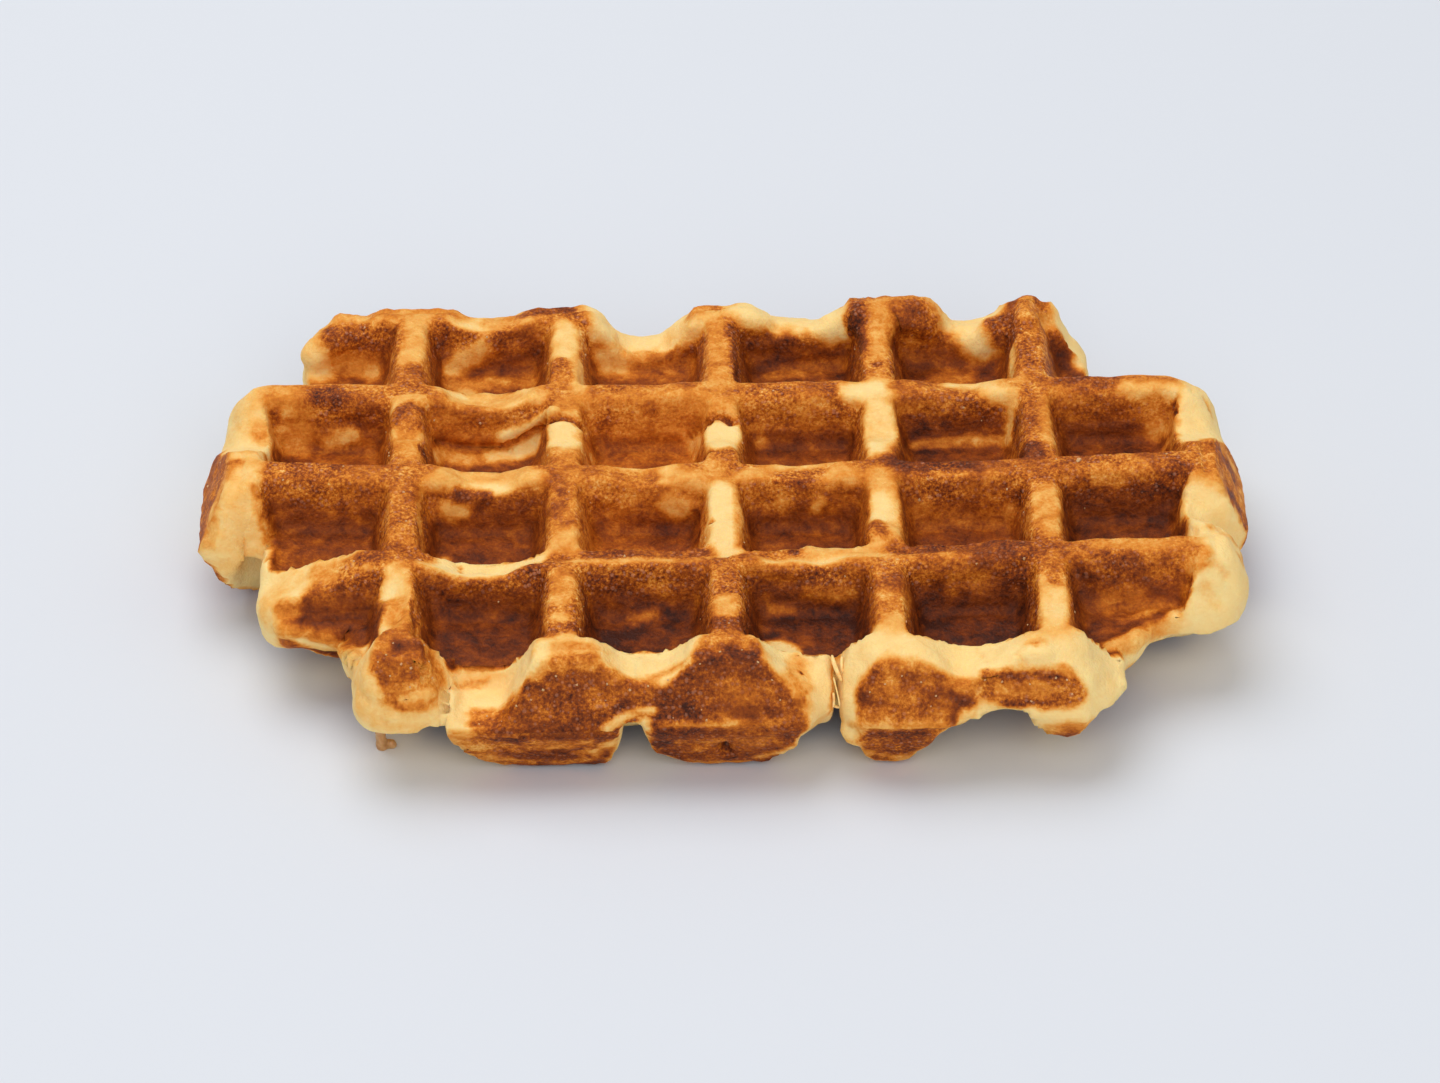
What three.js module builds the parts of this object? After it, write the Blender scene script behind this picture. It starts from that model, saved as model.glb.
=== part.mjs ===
// A Liege waffle: a slab of sweet yeast dough baked between the two plates of a deep
// waffle iron. Millimetres, +Z up, resting on its lower ribs.
//
// The form is worked out the way it comes about. Each plate of the iron has bosses that
// press the pockets and channels that press the ribs, and a sloping wall round the outside.
// The dough is a lump that spreads between the plates and stops where it stops, so it fills
// most channels, falls a little short in some, and ends in rounded lobes at the rim.
// The surface is the iron's face where the dough reached it and the dough's own round
// surface where it didn't.

import * as THREE from 'three';
import { mergeVertices } from 'three/addons/utils/BufferGeometryUtils.js';

// ---- the iron ----
const COLUMNS = 6;
const ROWS = 4;
const PITCH_X = 27;
const PITCH_Y = 23.7;
const THICKNESS = 24;
const MID_Z = THICKNESS / 2;
const HALF = THICKNESS / 2;
const RIB_WIDTH = 5;
const BOSS_SLOPE = 2.6;
const POCKET_DEPTH = 9;
const WALL_SLOPE = 5.6;
const POCKET_CORNER = 1.6;
const POCKET_EDGE = 0.35;
const WALL_CORNER = 1.5;
const WALL_BLEND = 0.8;
const HALF_X = (COLUMNS * PITCH_X) / 2;
const HALF_Y = (ROWS * PITCH_Y) / 2;

// ---- the dough ----
const EDGE_ROUND = 8.5;
const OVERFILL = 1.2;
const LEAST_HEIGHT = 0.6;
const BLEND = 0.7;
const BAND_BLEND = 5;
const LOBE_BLEND = 3;
const FAR_OUTSIDE = -99;

// how far each row of dough ran out: x from, x to, y from, y to, corner radius
const BANDS = [
  [-72.8, 64.3, 22, 54.5, 7],
  [-86, 86.3, 8, 30.5, 8],
  [-91, 91, -9, 16, 10],
  [-78.5, -50, -31.5, -9, 8],
  [40, 87.5, -34, -9, 10],
  [-70, 80, -24, 10, 6],
  [-58, 64, -49, -20, 5],
  [-61.5, -46.1, -54.3, -40, 5.5],
  [-46.5, -10, -60, -40, 6],
  [-20, 16, -57.5, -40, 9],
  [19.8, 40, -55.5, -40, 6],
  [37, 59, -58.5, -40, 5],
  [-72, -42, 40, 54, 6],
];
// knobs at the ends of single ribs: x, y, radius
const KNOBS = [
  [-57, -36, 6.5],
  [64, -34, 6],
  [56.5, -44.8, 9],
  [-29, 50, 9],
  [0, 50, 8.5],
  [28, 49, 10],
  [38, 45, 7],
  [54, 50, 8],
];
// gaps left between neighbouring lobes: x, y, radius
const GAPS = [
  [-46.7, -60, 4],
  [17.8, -60, 3.2],
];
// hollows under the rim, where the dough never touched the lower plate: x, y, radius, depth
const HOLLOWS = [
  [-56, -50, 10, 9],
  [-49, -53, 4.5, 7],
  [-15.8, -53.5, 3.2, 13],
  [16, -53.5, 4.8, 12],
  [46.6, -50, 7.8, 14],
  [60, -49, 9, 7],
  [80, -32, 11, 8],
  [70, -36, 8, 6],
  [-72, -33, 10, 8],
  [-84, -17, 10, 7],
  [31, -52, 8, 1.6],
];
// places where the underside rises over the mid plane: x, y, radius, height
const LIFTS = [
  [46.5, -52, 8, 3.6],
  [-15.8, -54, 3.6, 2.5],
];
// dents in the top, where a rib's end rounds off before the plate, and swellings (below nought)
const DENTS = [
  [-78, -23, 11, 8],
  [-53, -50, 7, -4],
  [27.5, -50.5, 7, 2.4],
  [56, -50.5, 8, 3],
  [35, 49, 5.5, -4],
  [48, 50, 4, 2],
];
const DIP_FALLOFF = 1.4;

// How far short of the plate each stretch of rib stayed, in the middle of the stretch. The
// shortfall fades out towards the crossings, between these two parts of the stretch, and
// beside the rib over a width.
const FULL = -OVERFILL;
const FADE_FROM = 0.08;
const FADE_TO = 0.42;
const FADE_BESIDE = 5;
const TOP_SHORTFALL = {
  // one line per cross rib, back to front; one value per column
  cross: [
    [3.5, 1.8, 7.6, 3.6, 5, 9],
    [FULL, 2, FULL, FULL, 0.6, FULL],
    [FULL, 2.4, 0.3, 0.2, FULL, FULL],
    [1.9, 1.9, FULL, 0.1, FULL, FULL],
    [9, 11, 4.6, 5.2, 3.4, 9],
  ],
  // one line per long rib, left to right; one value per row, back to front
  along: [
    [9, 3, 1, 7],
    [0, 0.2, FULL, -0.4],
    [0, 1.4, FULL, FULL],
    [FULL, 1.2, 0.6, FULL],
    [FULL, 0.6, 0.6, FULL],
    [FULL, FULL, 0, 0.4],
    [9, 2.5, 0.8, 2],
  ],
};
const BOTTOM_SHORTFALL = {
  cross: [
    [8, 3, 7, 6, 5, 9],
    [0, 1, FULL, 1, FULL, 0],
    [FULL, 1, FULL, 0.5, FULL, FULL],
    [2, FULL, FULL, FULL, FULL, 1],
    [6, 1.5, 3, 3, 9, 11],
  ],
  along: [
    [9, 3, 1, 7],
    [FULL, 0, FULL, 0.4],
    [0.4, 0.5, FULL, FULL],
    [FULL, 0.5, 1, FULL],
    [FULL, 0.8, 1, FULL],
    [FULL, FULL, 0.1, 0.9],
    [9, 2.5, 0.8, 2],
  ],
};

// ---- the facets: where the surface grid's lines lie, as parts of the rib spacing ----
const LINE_STEPS_X = [0.06, 0.12, 0.19, 0.345, 0.5, 0.655, 0.81, 0.88, 0.94];
const LINE_STEPS_Y = [0.065, 0.135, 0.215, 0.405, 0.595, 0.785, 0.865, 0.935];
const BORDER_STEPS = [1.6, 3.4, 5.4, 7.6, 10.5];
const HALVINGS = 24;
const WELD = 0.0001;

const { clamp, smoothstep } = THREE.MathUtils;

function smoothMin(a, b, width) {
  const h = clamp(0.5 + (0.5 * (b - a)) / width, 0, 1);
  return b * (1 - h) + a * h - width * h * (1 - h);
}

function smoothMax(a, b, width) {
  return -smoothMin(-a, -b, width);
}

// distance from a coordinate to the nearest rib line
function distanceToRib(value, pitch, count) {
  const line = clamp(Math.round(value / pitch + count / 2), 0, count);
  return Math.abs(value - pitch * (line - count / 2));
}

// height of a plate's face over the mid plane
function ironHeight(x, y) {
  const toLong = distanceToRib(x, PITCH_X, COLUMNS);
  const toCross = distanceToRib(y, PITCH_Y, ROWS);
  const inside = Math.abs(x) < HALF_X && Math.abs(y) < HALF_Y;
  const toRib = smoothMin(toLong, toCross, POCKET_CORNER) - RIB_WIDTH / 2;
  const ramp = inside ? toRib / BOSS_SLOPE : 0;
  const boss = smoothMin(smoothMax(ramp, 0, POCKET_EDGE), 1, POCKET_EDGE);
  const outX = Math.abs(x) - HALF_X;
  const outY = Math.abs(y) - HALF_Y;
  const beyond = smoothMax(outX, outY, WALL_CORNER) - RIB_WIDTH / 2;
  const wall = HALF * (1 - beyond / WALL_SLOPE);
  return smoothMin(HALF - POCKET_DEPTH * clamp(boss, 0, 1), wall, WALL_BLEND);
}

// distance inside a rectangle with round corners, negative outside it
function insideBand(x, y, [fromX, toX, fromY, toY, radius]) {
  const outX = Math.abs(x - (fromX + toX) / 2) - ((toX - fromX) / 2 - radius);
  const outY = Math.abs(y - (fromY + toY) / 2) - ((toY - fromY) / 2 - radius);
  const corner = Math.hypot(Math.max(outX, 0), Math.max(outY, 0));
  return radius - corner - Math.min(Math.max(outX, outY), 0);
}

// distance inside the dough's outline, negative outside it
function insideDough(x, y) {
  let depth = FAR_OUTSIDE;
  for (const band of BANDS) {
    depth = smoothMax(depth, insideBand(x, y, band), BAND_BLEND);
  }
  for (const [knobX, knobY, radius] of KNOBS) {
    depth = smoothMax(depth, radius - Math.hypot(x - knobX, y - knobY), LOBE_BLEND);
  }
  for (const [gapX, gapY, radius] of GAPS) {
    depth = smoothMin(depth, Math.hypot(x - gapX, y - gapY) - radius, LOBE_BLEND);
  }
  return depth;
}

// one stretch of rib: its shortfall fades out at both crossings and beside the rib
function stretchShortfall(shortfall, alongPart, across) {
  const fromStart = smoothstep(alongPart, FADE_FROM, FADE_TO);
  const fromEnd = smoothstep(1 - alongPart, FADE_FROM, FADE_TO);
  const beside = 1 - smoothstep(across, RIB_WIDTH / 2, RIB_WIDTH / 2 + FADE_BESIDE);
  return (shortfall + OVERFILL) * fromStart * fromEnd * beside;
}

function shortfallAt(x, y, { cross, along }) {
  let most = 0;
  cross.forEach((stretches, line) => {
    const lineY = PITCH_Y * (ROWS / 2 - line);
    const outer = (line === 0 && y > lineY) || (line === ROWS && y < lineY);
    const across = outer ? 0 : Math.abs(y - lineY);
    stretches.forEach((value, column) => {
      const part = x / PITCH_X + COLUMNS / 2 - column;
      most = Math.max(most, stretchShortfall(value, part, across));
    });
  });
  along.forEach((stretches, line) => {
    const lineX = PITCH_X * (line - COLUMNS / 2);
    const outer = (line === 0 && x < lineX) || (line === COLUMNS && x > lineX);
    const across = outer ? 0 : Math.abs(x - lineX);
    stretches.forEach((value, row) => {
      const part = ROWS / 2 - row - y / PITCH_Y;
      most = Math.max(most, stretchShortfall(value, part, across));
    });
  });
  return most;
}

// the sum of soft round dips: each is x, y, radius, depth
function dipsAt(x, y, dips) {
  let depth = 0;
  for (const [dipX, dipY, radius, deepest] of dips) {
    const reach = Math.hypot(x - dipX, y - dipY) / radius;
    depth += deepest * Math.exp(-DIP_FALLOFF * reach * reach);
  }
  return depth;
}

// height of the baked surface over the mid plane, for one plate
function bakedHeight(x, y, shortfalls, dips) {
  const inward = clamp(insideDough(x, y) / EDGE_ROUND, -1, 1);
  const round = inward > 0 ? Math.sqrt(1 - (1 - inward) * (1 - inward)) : inward;
  const crown = HALF + OVERFILL - shortfallAt(x, y, shortfalls) - dipsAt(x, y, dips);
  const dough = Math.max(crown, LEAST_HEIGHT) * round;
  return smoothMin(ironHeight(x, y), dough, BLEND);
}

function topHeight(x, y) {
  return bakedHeight(x, y, TOP_SHORTFALL, DENTS);
}

function bottomHeight(x, y) {
  return bakedHeight(x, y, BOTTOM_SHORTFALL, HOLLOWS) - dipsAt(x, y, LIFTS);
}

function thicknessAt(x, y) {
  return topHeight(x, y) + bottomHeight(x, y);
}

// the grid's lines along one direction, close together where the pocket walls are
function gridLines(count, pitch, steps) {
  const half = (count * pitch) / 2;
  const lines = [];
  for (let cell = 0; cell < count; cell += 1) {
    steps.forEach((step) => lines.push((cell + step) * pitch - half));
  }
  BORDER_STEPS.forEach((step) => lines.push(-half - step, half + step));
  return lines.sort((a, b) => a - b);
}

// the point between an inner and an outer point where the thickness comes to nothing
function edgePoint(inner, outer) {
  let low = 0;
  let high = 1;
  for (let step = 0; step < HALVINGS; step += 1) {
    const middle = (low + high) / 2;
    const point = inner.clone().lerp(outer, middle);
    if (thicknessAt(point.x, point.y) > 0) low = middle;
    else high = middle;
  }
  return inner.clone().lerp(outer, low);
}

// the squares of a flat grid that reach into the dough, with lines that follow the ribs
function outlinedSheet() {
  const linesX = gridLines(COLUMNS, PITCH_X, LINE_STEPS_X);
  const linesY = gridLines(ROWS, PITCH_Y, LINE_STEPS_Y).reverse();
  const acrossX = linesX.length;
  const grid = new THREE.PlaneGeometry(1, 1, acrossX - 1, linesY.length - 1);
  const points = [];
  for (let number = 0; number < grid.attributes.position.count; number += 1) {
    const line = Math.floor(number / acrossX);
    points.push(new THREE.Vector2(linesX[number % acrossX], linesY[line]));
  }
  const inner = points.map((point) => thicknessAt(point.x, point.y) > 0);

  const squares = [];
  for (let start = 0; start < grid.index.count; start += 6) {
    const [a, b, d, , c] = grid.index.array.slice(start, start + 6);
    if ([a, b, c, d].some((corner) => inner[corner])) squares.push([a, b, c, d]);
  }
  cutRim(points, inner, squares);
  return { points, inner, squares };
}

// the squares round an outer point, in groups that meet at an inner neighbour of it
function groupsRound(point, squares, inner) {
  const groups = [];
  for (const corners of squares) {
    const turn = corners.indexOf(point);
    const [next, opposite, last] = [1, 2, 3].map((step) => corners[(turn + step) % 4]);
    const beside = [next, last].filter((other) => inner[other]);
    const joined = groups.filter((group) => group.beside.some((other) => beside.includes(other)));
    const merged = { squares: [corners], beside: new Set(beside), opposite };
    for (const group of joined) {
      merged.squares.push(...group.squares);
      group.beside.forEach((other) => merged.beside.add(other));
      groups.splice(groups.indexOf(group), 1);
    }
    groups.push({ ...merged, beside: [...merged.beside] });
  }
  return groups;
}

// Every outer corner moves on to the outline, towards its inner neighbours. Where squares on
// both sides of a narrow gap share one, each side gets its own.
function cutRim(points, inner, squares) {
  const around = new Map();
  for (const corners of squares) {
    for (const corner of corners.filter((other) => !inner[other])) {
      around.set(corner, [...(around.get(corner) ?? []), corners]);
    }
  }
  for (const [outer, outerSquares] of around) {
    for (const group of groupsRound(outer, outerSquares, inner)) {
      const towards = group.beside.length > 0 ? group.beside : [group.opposite];
      const moved = new THREE.Vector2();
      towards.forEach((other) => moved.add(edgePoint(points[other], points[outer])));
      const rimPoint = points.push(moved.divideScalar(towards.length)) - 1;
      inner.push(false);
      for (const corners of group.squares) corners[corners.indexOf(outer)] = rimPoint;
    }
  }
}

// which way a square is split: through its odd corner at the rim, else the truer way
function splitsFromFirst(corners, inner, positions, heightOf) {
  const innerCount = corners.filter((corner) => inner[corner]).length;
  if (innerCount === 1 || innerCount === 3) {
    const odd = corners.findIndex((corner) => inner[corner] === (innerCount === 1));
    return odd % 2 === 0;
  }
  const [a, b, c, d] = corners.map((corner) => positions[corner]);
  if (innerCount === 2) {
    return inner[corners[0]] && inner[corners[2]] ? true : a.distanceTo(c) < b.distanceTo(d);
  }
  const middle = a.clone().add(b).add(c).add(d).divideScalar(4);
  const real = heightOf(middle.x, middle.y);
  return Math.abs((a.z + c.z) / 2 - real) <= Math.abs((b.z + d.z) / 2 - real);
}

// two triangles for each square, turned upwards or downwards
function sheetFaces(squares, inner, positions, heightOf, upwards) {
  const faces = [];
  for (const corners of squares) {
    const [a, b, c, d] = corners;
    const fromFirst = splitsFromFirst(corners, inner, positions, heightOf);
    const pair = fromFirst ? [[a, b, c], [a, c, d]] : [[a, b, d], [b, c, d]];
    pair.forEach(([i, j, k]) => faces.push(...(upwards ? [i, j, k] : [k, j, i])));
  }
  return faces;
}

// an upper and a lower copy of the sheet, joined at the rim into one closed body
function waffleGeometry() {
  const { points, inner, squares } = outlinedSheet();
  const upper = [];
  const lower = [];
  points.forEach(({ x, y }, number) => {
    const top = topHeight(x, y);
    const bottom = bottomHeight(x, y);
    const rimZ = MID_Z + (top - bottom) / 2;
    upper.push(new THREE.Vector3(x, y, inner[number] ? MID_Z + top : rimZ));
    lower.push(new THREE.Vector3(x, y, inner[number] ? MID_Z - bottom : rimZ));
  });
  const topFaces = sheetFaces(squares, inner, upper, (x, y) => MID_Z + topHeight(x, y), true);
  const lowFaces = sheetFaces(squares, inner, lower, (x, y) => MID_Z - bottomHeight(x, y), false);

  const geometry = new THREE.BufferGeometry().setFromPoints([...upper, ...lower]);
  geometry.setIndex([...topFaces, ...lowFaces.map((number) => number + upper.length)]);
  const closed = mergeVertices(geometry, WELD);
  closed.computeVertexNormals();
  return closed;
}

function makeWaffle() {
  const crust = new THREE.MeshStandardMaterial({ color: 0xb8702c, roughness: 0.7, metalness: 0 });
  const waffle = new THREE.Mesh(waffleGeometry(), crust);
  waffle.name = 'waffle';
  return waffle;
}

const group = new THREE.Group();
group.add(makeWaffle());

export default group;
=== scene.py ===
"""A Liege waffle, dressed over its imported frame: crust, dough, caramel, stage and camera."""

import math

import bpy
import numpy as np
from mathutils import Euler, Matrix, Vector


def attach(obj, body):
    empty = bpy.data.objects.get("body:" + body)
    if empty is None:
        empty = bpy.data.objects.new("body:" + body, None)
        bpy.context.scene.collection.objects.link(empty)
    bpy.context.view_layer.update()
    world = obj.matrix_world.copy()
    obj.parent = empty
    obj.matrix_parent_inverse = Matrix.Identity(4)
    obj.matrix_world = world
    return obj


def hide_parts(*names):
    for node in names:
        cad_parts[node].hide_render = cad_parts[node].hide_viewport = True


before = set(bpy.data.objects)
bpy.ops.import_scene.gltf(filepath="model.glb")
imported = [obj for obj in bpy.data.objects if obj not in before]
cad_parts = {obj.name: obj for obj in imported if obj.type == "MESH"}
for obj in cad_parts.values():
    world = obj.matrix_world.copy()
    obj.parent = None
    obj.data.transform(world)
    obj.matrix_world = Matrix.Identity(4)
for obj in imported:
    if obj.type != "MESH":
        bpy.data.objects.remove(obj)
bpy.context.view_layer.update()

bl_info = {
    "name": "Liege Waffle",
    "version": (1, 0, 0),
    "blender": (4, 5, 0),
    "location": "3D View > Sidebar > Waffle",
    "description": "Bakes the crust, the dough and the caramel of a Liege waffle",
    "category": "Object",
}

MM = 0.001
TINY = 1e-9
FAR = 99.0

# ---------------------------------------------------------------- the iron, in millimetres

COLUMNS = 6
ROWS = 4
PITCH_X = 27.0
PITCH_Y = 23.7
GRID_X = (PITCH_X, COLUMNS)
GRID_Y = (PITCH_Y, ROWS)
HALF_X = COLUMNS * PITCH_X / 2
HALF_Y = ROWS * PITCH_Y / 2
MID_Z = 12.0
HALF = 12.0
RIB_WIDTH = 5.0
BOSS_SLOPE = 2.6
POCKET_DEPTH = 9.0
WALL_SLOPE = 5.6
POCKET_CORNER = 1.6
POCKET_EDGE = 0.35
WALL_CORNER = 1.5
WALL_BLEND = 0.8

# ---------------------------------------------------------------- the dough, in millimetres

EDGE_ROUND = 8.5
OVERFILL = 1.2
LEAST_HEIGHT = 0.6
BLEND = 0.7
BAND_BLEND = 5.0
LOBE_BLEND = 3.0
CLEFT_BLEND = 1.5
CLEFT_SHARPNESS = 2.4
CLEFT_CEILING = (-0.5, 2.0)
SAW_OVERRUN = 4.0
SAW_GRAINS = 2

# how far each row of dough ran out: x from, x to, y from, y to, corner radius
BANDS = (
    (-72.8, 64.3, 22, 54.5, 7), (-86, 86.3, 8, 30.5, 8), (-91, 91, -10.5, 16, 10),
    (-90, -82, -10.5, 4, 8), (-78.5, -50, -31.5, -9, 8), (40, 87.5, -33, -10.5, 10),
    (-70, 80, -24, 10, 6), (-58, 64, -49, -20, 5), (-61.5, -46.1, -54.3, -40, 5.5),
    (-46.5, -10, -60, -40, 6), (-20, 16, -57.5, -40, 9), (19.8, 40.5, -55.5, -40, 5),
    (37, 59, -58.5, -40, 5), (-72, -42, 40, 54, 6),
)
# knobs at the ends of single ribs: x, y, radius
KNOBS = (
    (-57, -36, 6.5), (64, -34, 6), (56.5, -44.8, 9), (-29, 50, 9), (0, 50, 8.5),
    (28.8, 49, 9.4), (38, 45, 7), (54, 50, 8),
)
# gaps left between neighbouring lobes: x, y, radius
GAPS = ((-46.7, -60, 4), (17.8, -60, 3.2))
# narrow clefts between lobes: x, y of the inner and of the outer end, radius at each, and how
# far up they reach
FULL_HEIGHT = 25
CLEFTS = (
    (-46.6, -47, -58, 0.1, 0.9, FULL_HEIGHT),
    (18, -43.5, -58, 0.2, 0.8, FULL_HEIGHT),
    (-48.3, -45, -60, 1.2, 2.6, 12),
    (-15.7, -44.5, -60, 1, 2.2, 12.5),
)
# hollows under the rim, where the dough never touched the lower plate: x, y, radius, depth
HOLLOWS = (
    (-56, -50, 10, 9), (-49.5, -50, 5.5, 7), (-15.8, -54, 2.8, 5), (15.4, -53.5, 4.4, 12),
    (47, -50, 7.1, 14), (60, -49, 9, 7), (81, -32, 12, 12), (70, -36, 8, 6),
    (-73, -31, 10, 6.5), (-79.5, -9.5, 3.5, 10), (-78.8, -7.5, 3.6, 11), (-80, -20, 5, 5),
    (31, -52.5, 9, 2.2),
)
# places where the underside rises over the mid plane: x, y, radius, height
LIFTS = ((46.5, -52, 8, 3.6), (-15.8, -54, 3.6, 2.5))
# dents in the top, where a rib's end rounds off before the plate, and two swellings, which
# have a depth below nought: x, y, radius, depth
DENTS = (
    (-78, -23, 11, 8), (-53, -50, 7, -4), (27.5, -50.5, 7, 2.4), (82, 28, 6, 1.6),
    (56, -50.5, 8, 3), (35, 49, 5.5, -4), (48, 50, 4, 2),
)
DIP_FALLOFF = 1.4
# ends that curl up a little as the waffle cools: x where the curl starts, x of the end, its
# height, and the share of it that is lost towards the back
CURLS = ((-38, -88, 2.4, 0.4), (38, 88, 1.8, 0.9))
CURL_BEND = 1.5
CURL_FADE = (2, 34)

# how far short of the plate each stretch of rib stayed, in the middle of the stretch: the ribs
# along X from the back, and the ribs along Y from the left
FULL = -OVERFILL
FADE_FROM = 0.08
FADE_TO = 0.42
FADE_BESIDE = 5.0
TOP_CROSS = (
    (3.5, 1.8, 7.6, 3.6, 5, 9),
    (FULL, 2, FULL, FULL, 0.6, FULL),
    (FULL, 2.4, 1.0, 0.9, 0, FULL),
    (1.9, 1.9, FULL, 0.1, FULL, FULL),
    (9, 11, 4.6, 5.2, 3.4, 9),
)
TOP_ALONG = (
    (9, 3, 1, 7), (0, 0.2, FULL, -0.4), (0, 1.4, FULL, FULL), (FULL, 1.2, 0.6, FULL),
    (FULL, 0.6, 0.6, FULL), (FULL, FULL, 0, 0.4), (9, 2.5, 0.8, 2),
)
BOTTOM_CROSS = (
    (8, 3, 7, 6, 5, 9),
    (0, 1, FULL, 1, FULL, 0),
    (FULL, 1, FULL, 0.5, FULL, FULL),
    (2, FULL, FULL, FULL, FULL, 1),
    (6, 1.5, 3, 3, 9, 11),
)
BOTTOM_ALONG = (
    (9, 3, 1, 7), (FULL, 0, FULL, 0.4), (0.4, 0.5, FULL, FULL), (FULL, 0.5, 1, FULL),
    (FULL, 0.8, 1, FULL), (FULL, FULL, 0.1, 0.9), (9, 2.5, 0.8, 2),
)

# how points find the surface: rounds, longest move, length of the probe, least steepness
SETTLE_ROUNDS = 6
LONGEST_MOVE = 1.2
PROBE = 0.02
LEAST_STEEPNESS = 0.05

# ---------------------------------------------------------------- baking

# how hard the dough pressed the iron, and how brown that baked it
BAKING = ((-2.4, 0.02), (-0.7, 0.12), (0, 0.3), (0.5, 0.52), (1.2, 0.56), (9, 0.6))
BROWNED = (-0.5, 0.7)
# how much darker the crust is in each pocket, row by row from the back
POCKET_TONES = (
    (-0.06, 0.02, -0.02, 0.06, 0.05, 0),
    (-0.04, -0.03, -0.15, -0.02, 0.06, 0.03),
    (0, 0.03, -0.1, 0.0, 0.06, 0.12),
    (0.2, 0.13, 0.15, 0.19, 0.17, 0.2),
)
POCKET_TONE_DEPTHS = (0.05, 0.5)
# the crust grows darker from the rib tops down to the pocket floors: deeper browning, and painted
# shade low in the pockets
TONE_AT_TOP = -0.08
TONE_AT_FLOOR = 0.12
TONE_OF_WALL = 0.07
DEPTH_OF_WALL = 0.5
# where grains of sugar stick: how much, over which depths in a pocket and levels of baking
SUGAR_MEAN = 0.65
SUGAR_DEPTHS = (0.25, 0.85)
SUGAR_LEVELS = (0.3, 0.5)

# layers of noise: amount, size in mm and seed
NOISE_CELLS = 48
SEED_SHIFT = 0.37
DOUGH_FOLDS = ((0.34, 4.2, 11), (0.27, 2.0, 12))
CRUST_RIPPLES = ((0.2, (5.5, 5.5, 1.7), 13), (0.15, 1.5, 14))
MARK_WOBBLE = ((0.22, 2.3, 5), (0.16, 1.1, 6))
SUGAR_PATCHES = ((0.6, 7.0, 21),)
# the clouds of textures and nodes
CLOUD_DEPTH = 2
CLOUD_MEAN = 0.5

# ---------------------------------------------------------------- marks on the crust

FRAME_WIDTH = 1440
FRAME_HEIGHT = 1083
SENSOR = 36
STROKE_STEP = 5
# a mark fades between these shares of its radius, and on faces turned away from it
MARK_EDGE = (0.4, 1.45)
MARK_TURN = (-0.5, 0.1)
MARK_REACH = 2

# colours of the marks, as levels of baking
CREAM = 0.04
PALE = 0.11
BLOND = 0.22
WHEAT = 0.27
GOLD = 0.33
TOFFEE = 0.36
HONEY = 0.37
AMBER = 0.43
RUST = 0.54
CHESTNUT = 0.59
RUSSET = 0.60
BROWN = 0.63
UMBER = 0.68
DARK = 0.76
CHARRED = 0.84
BURNT = 0.93
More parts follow.
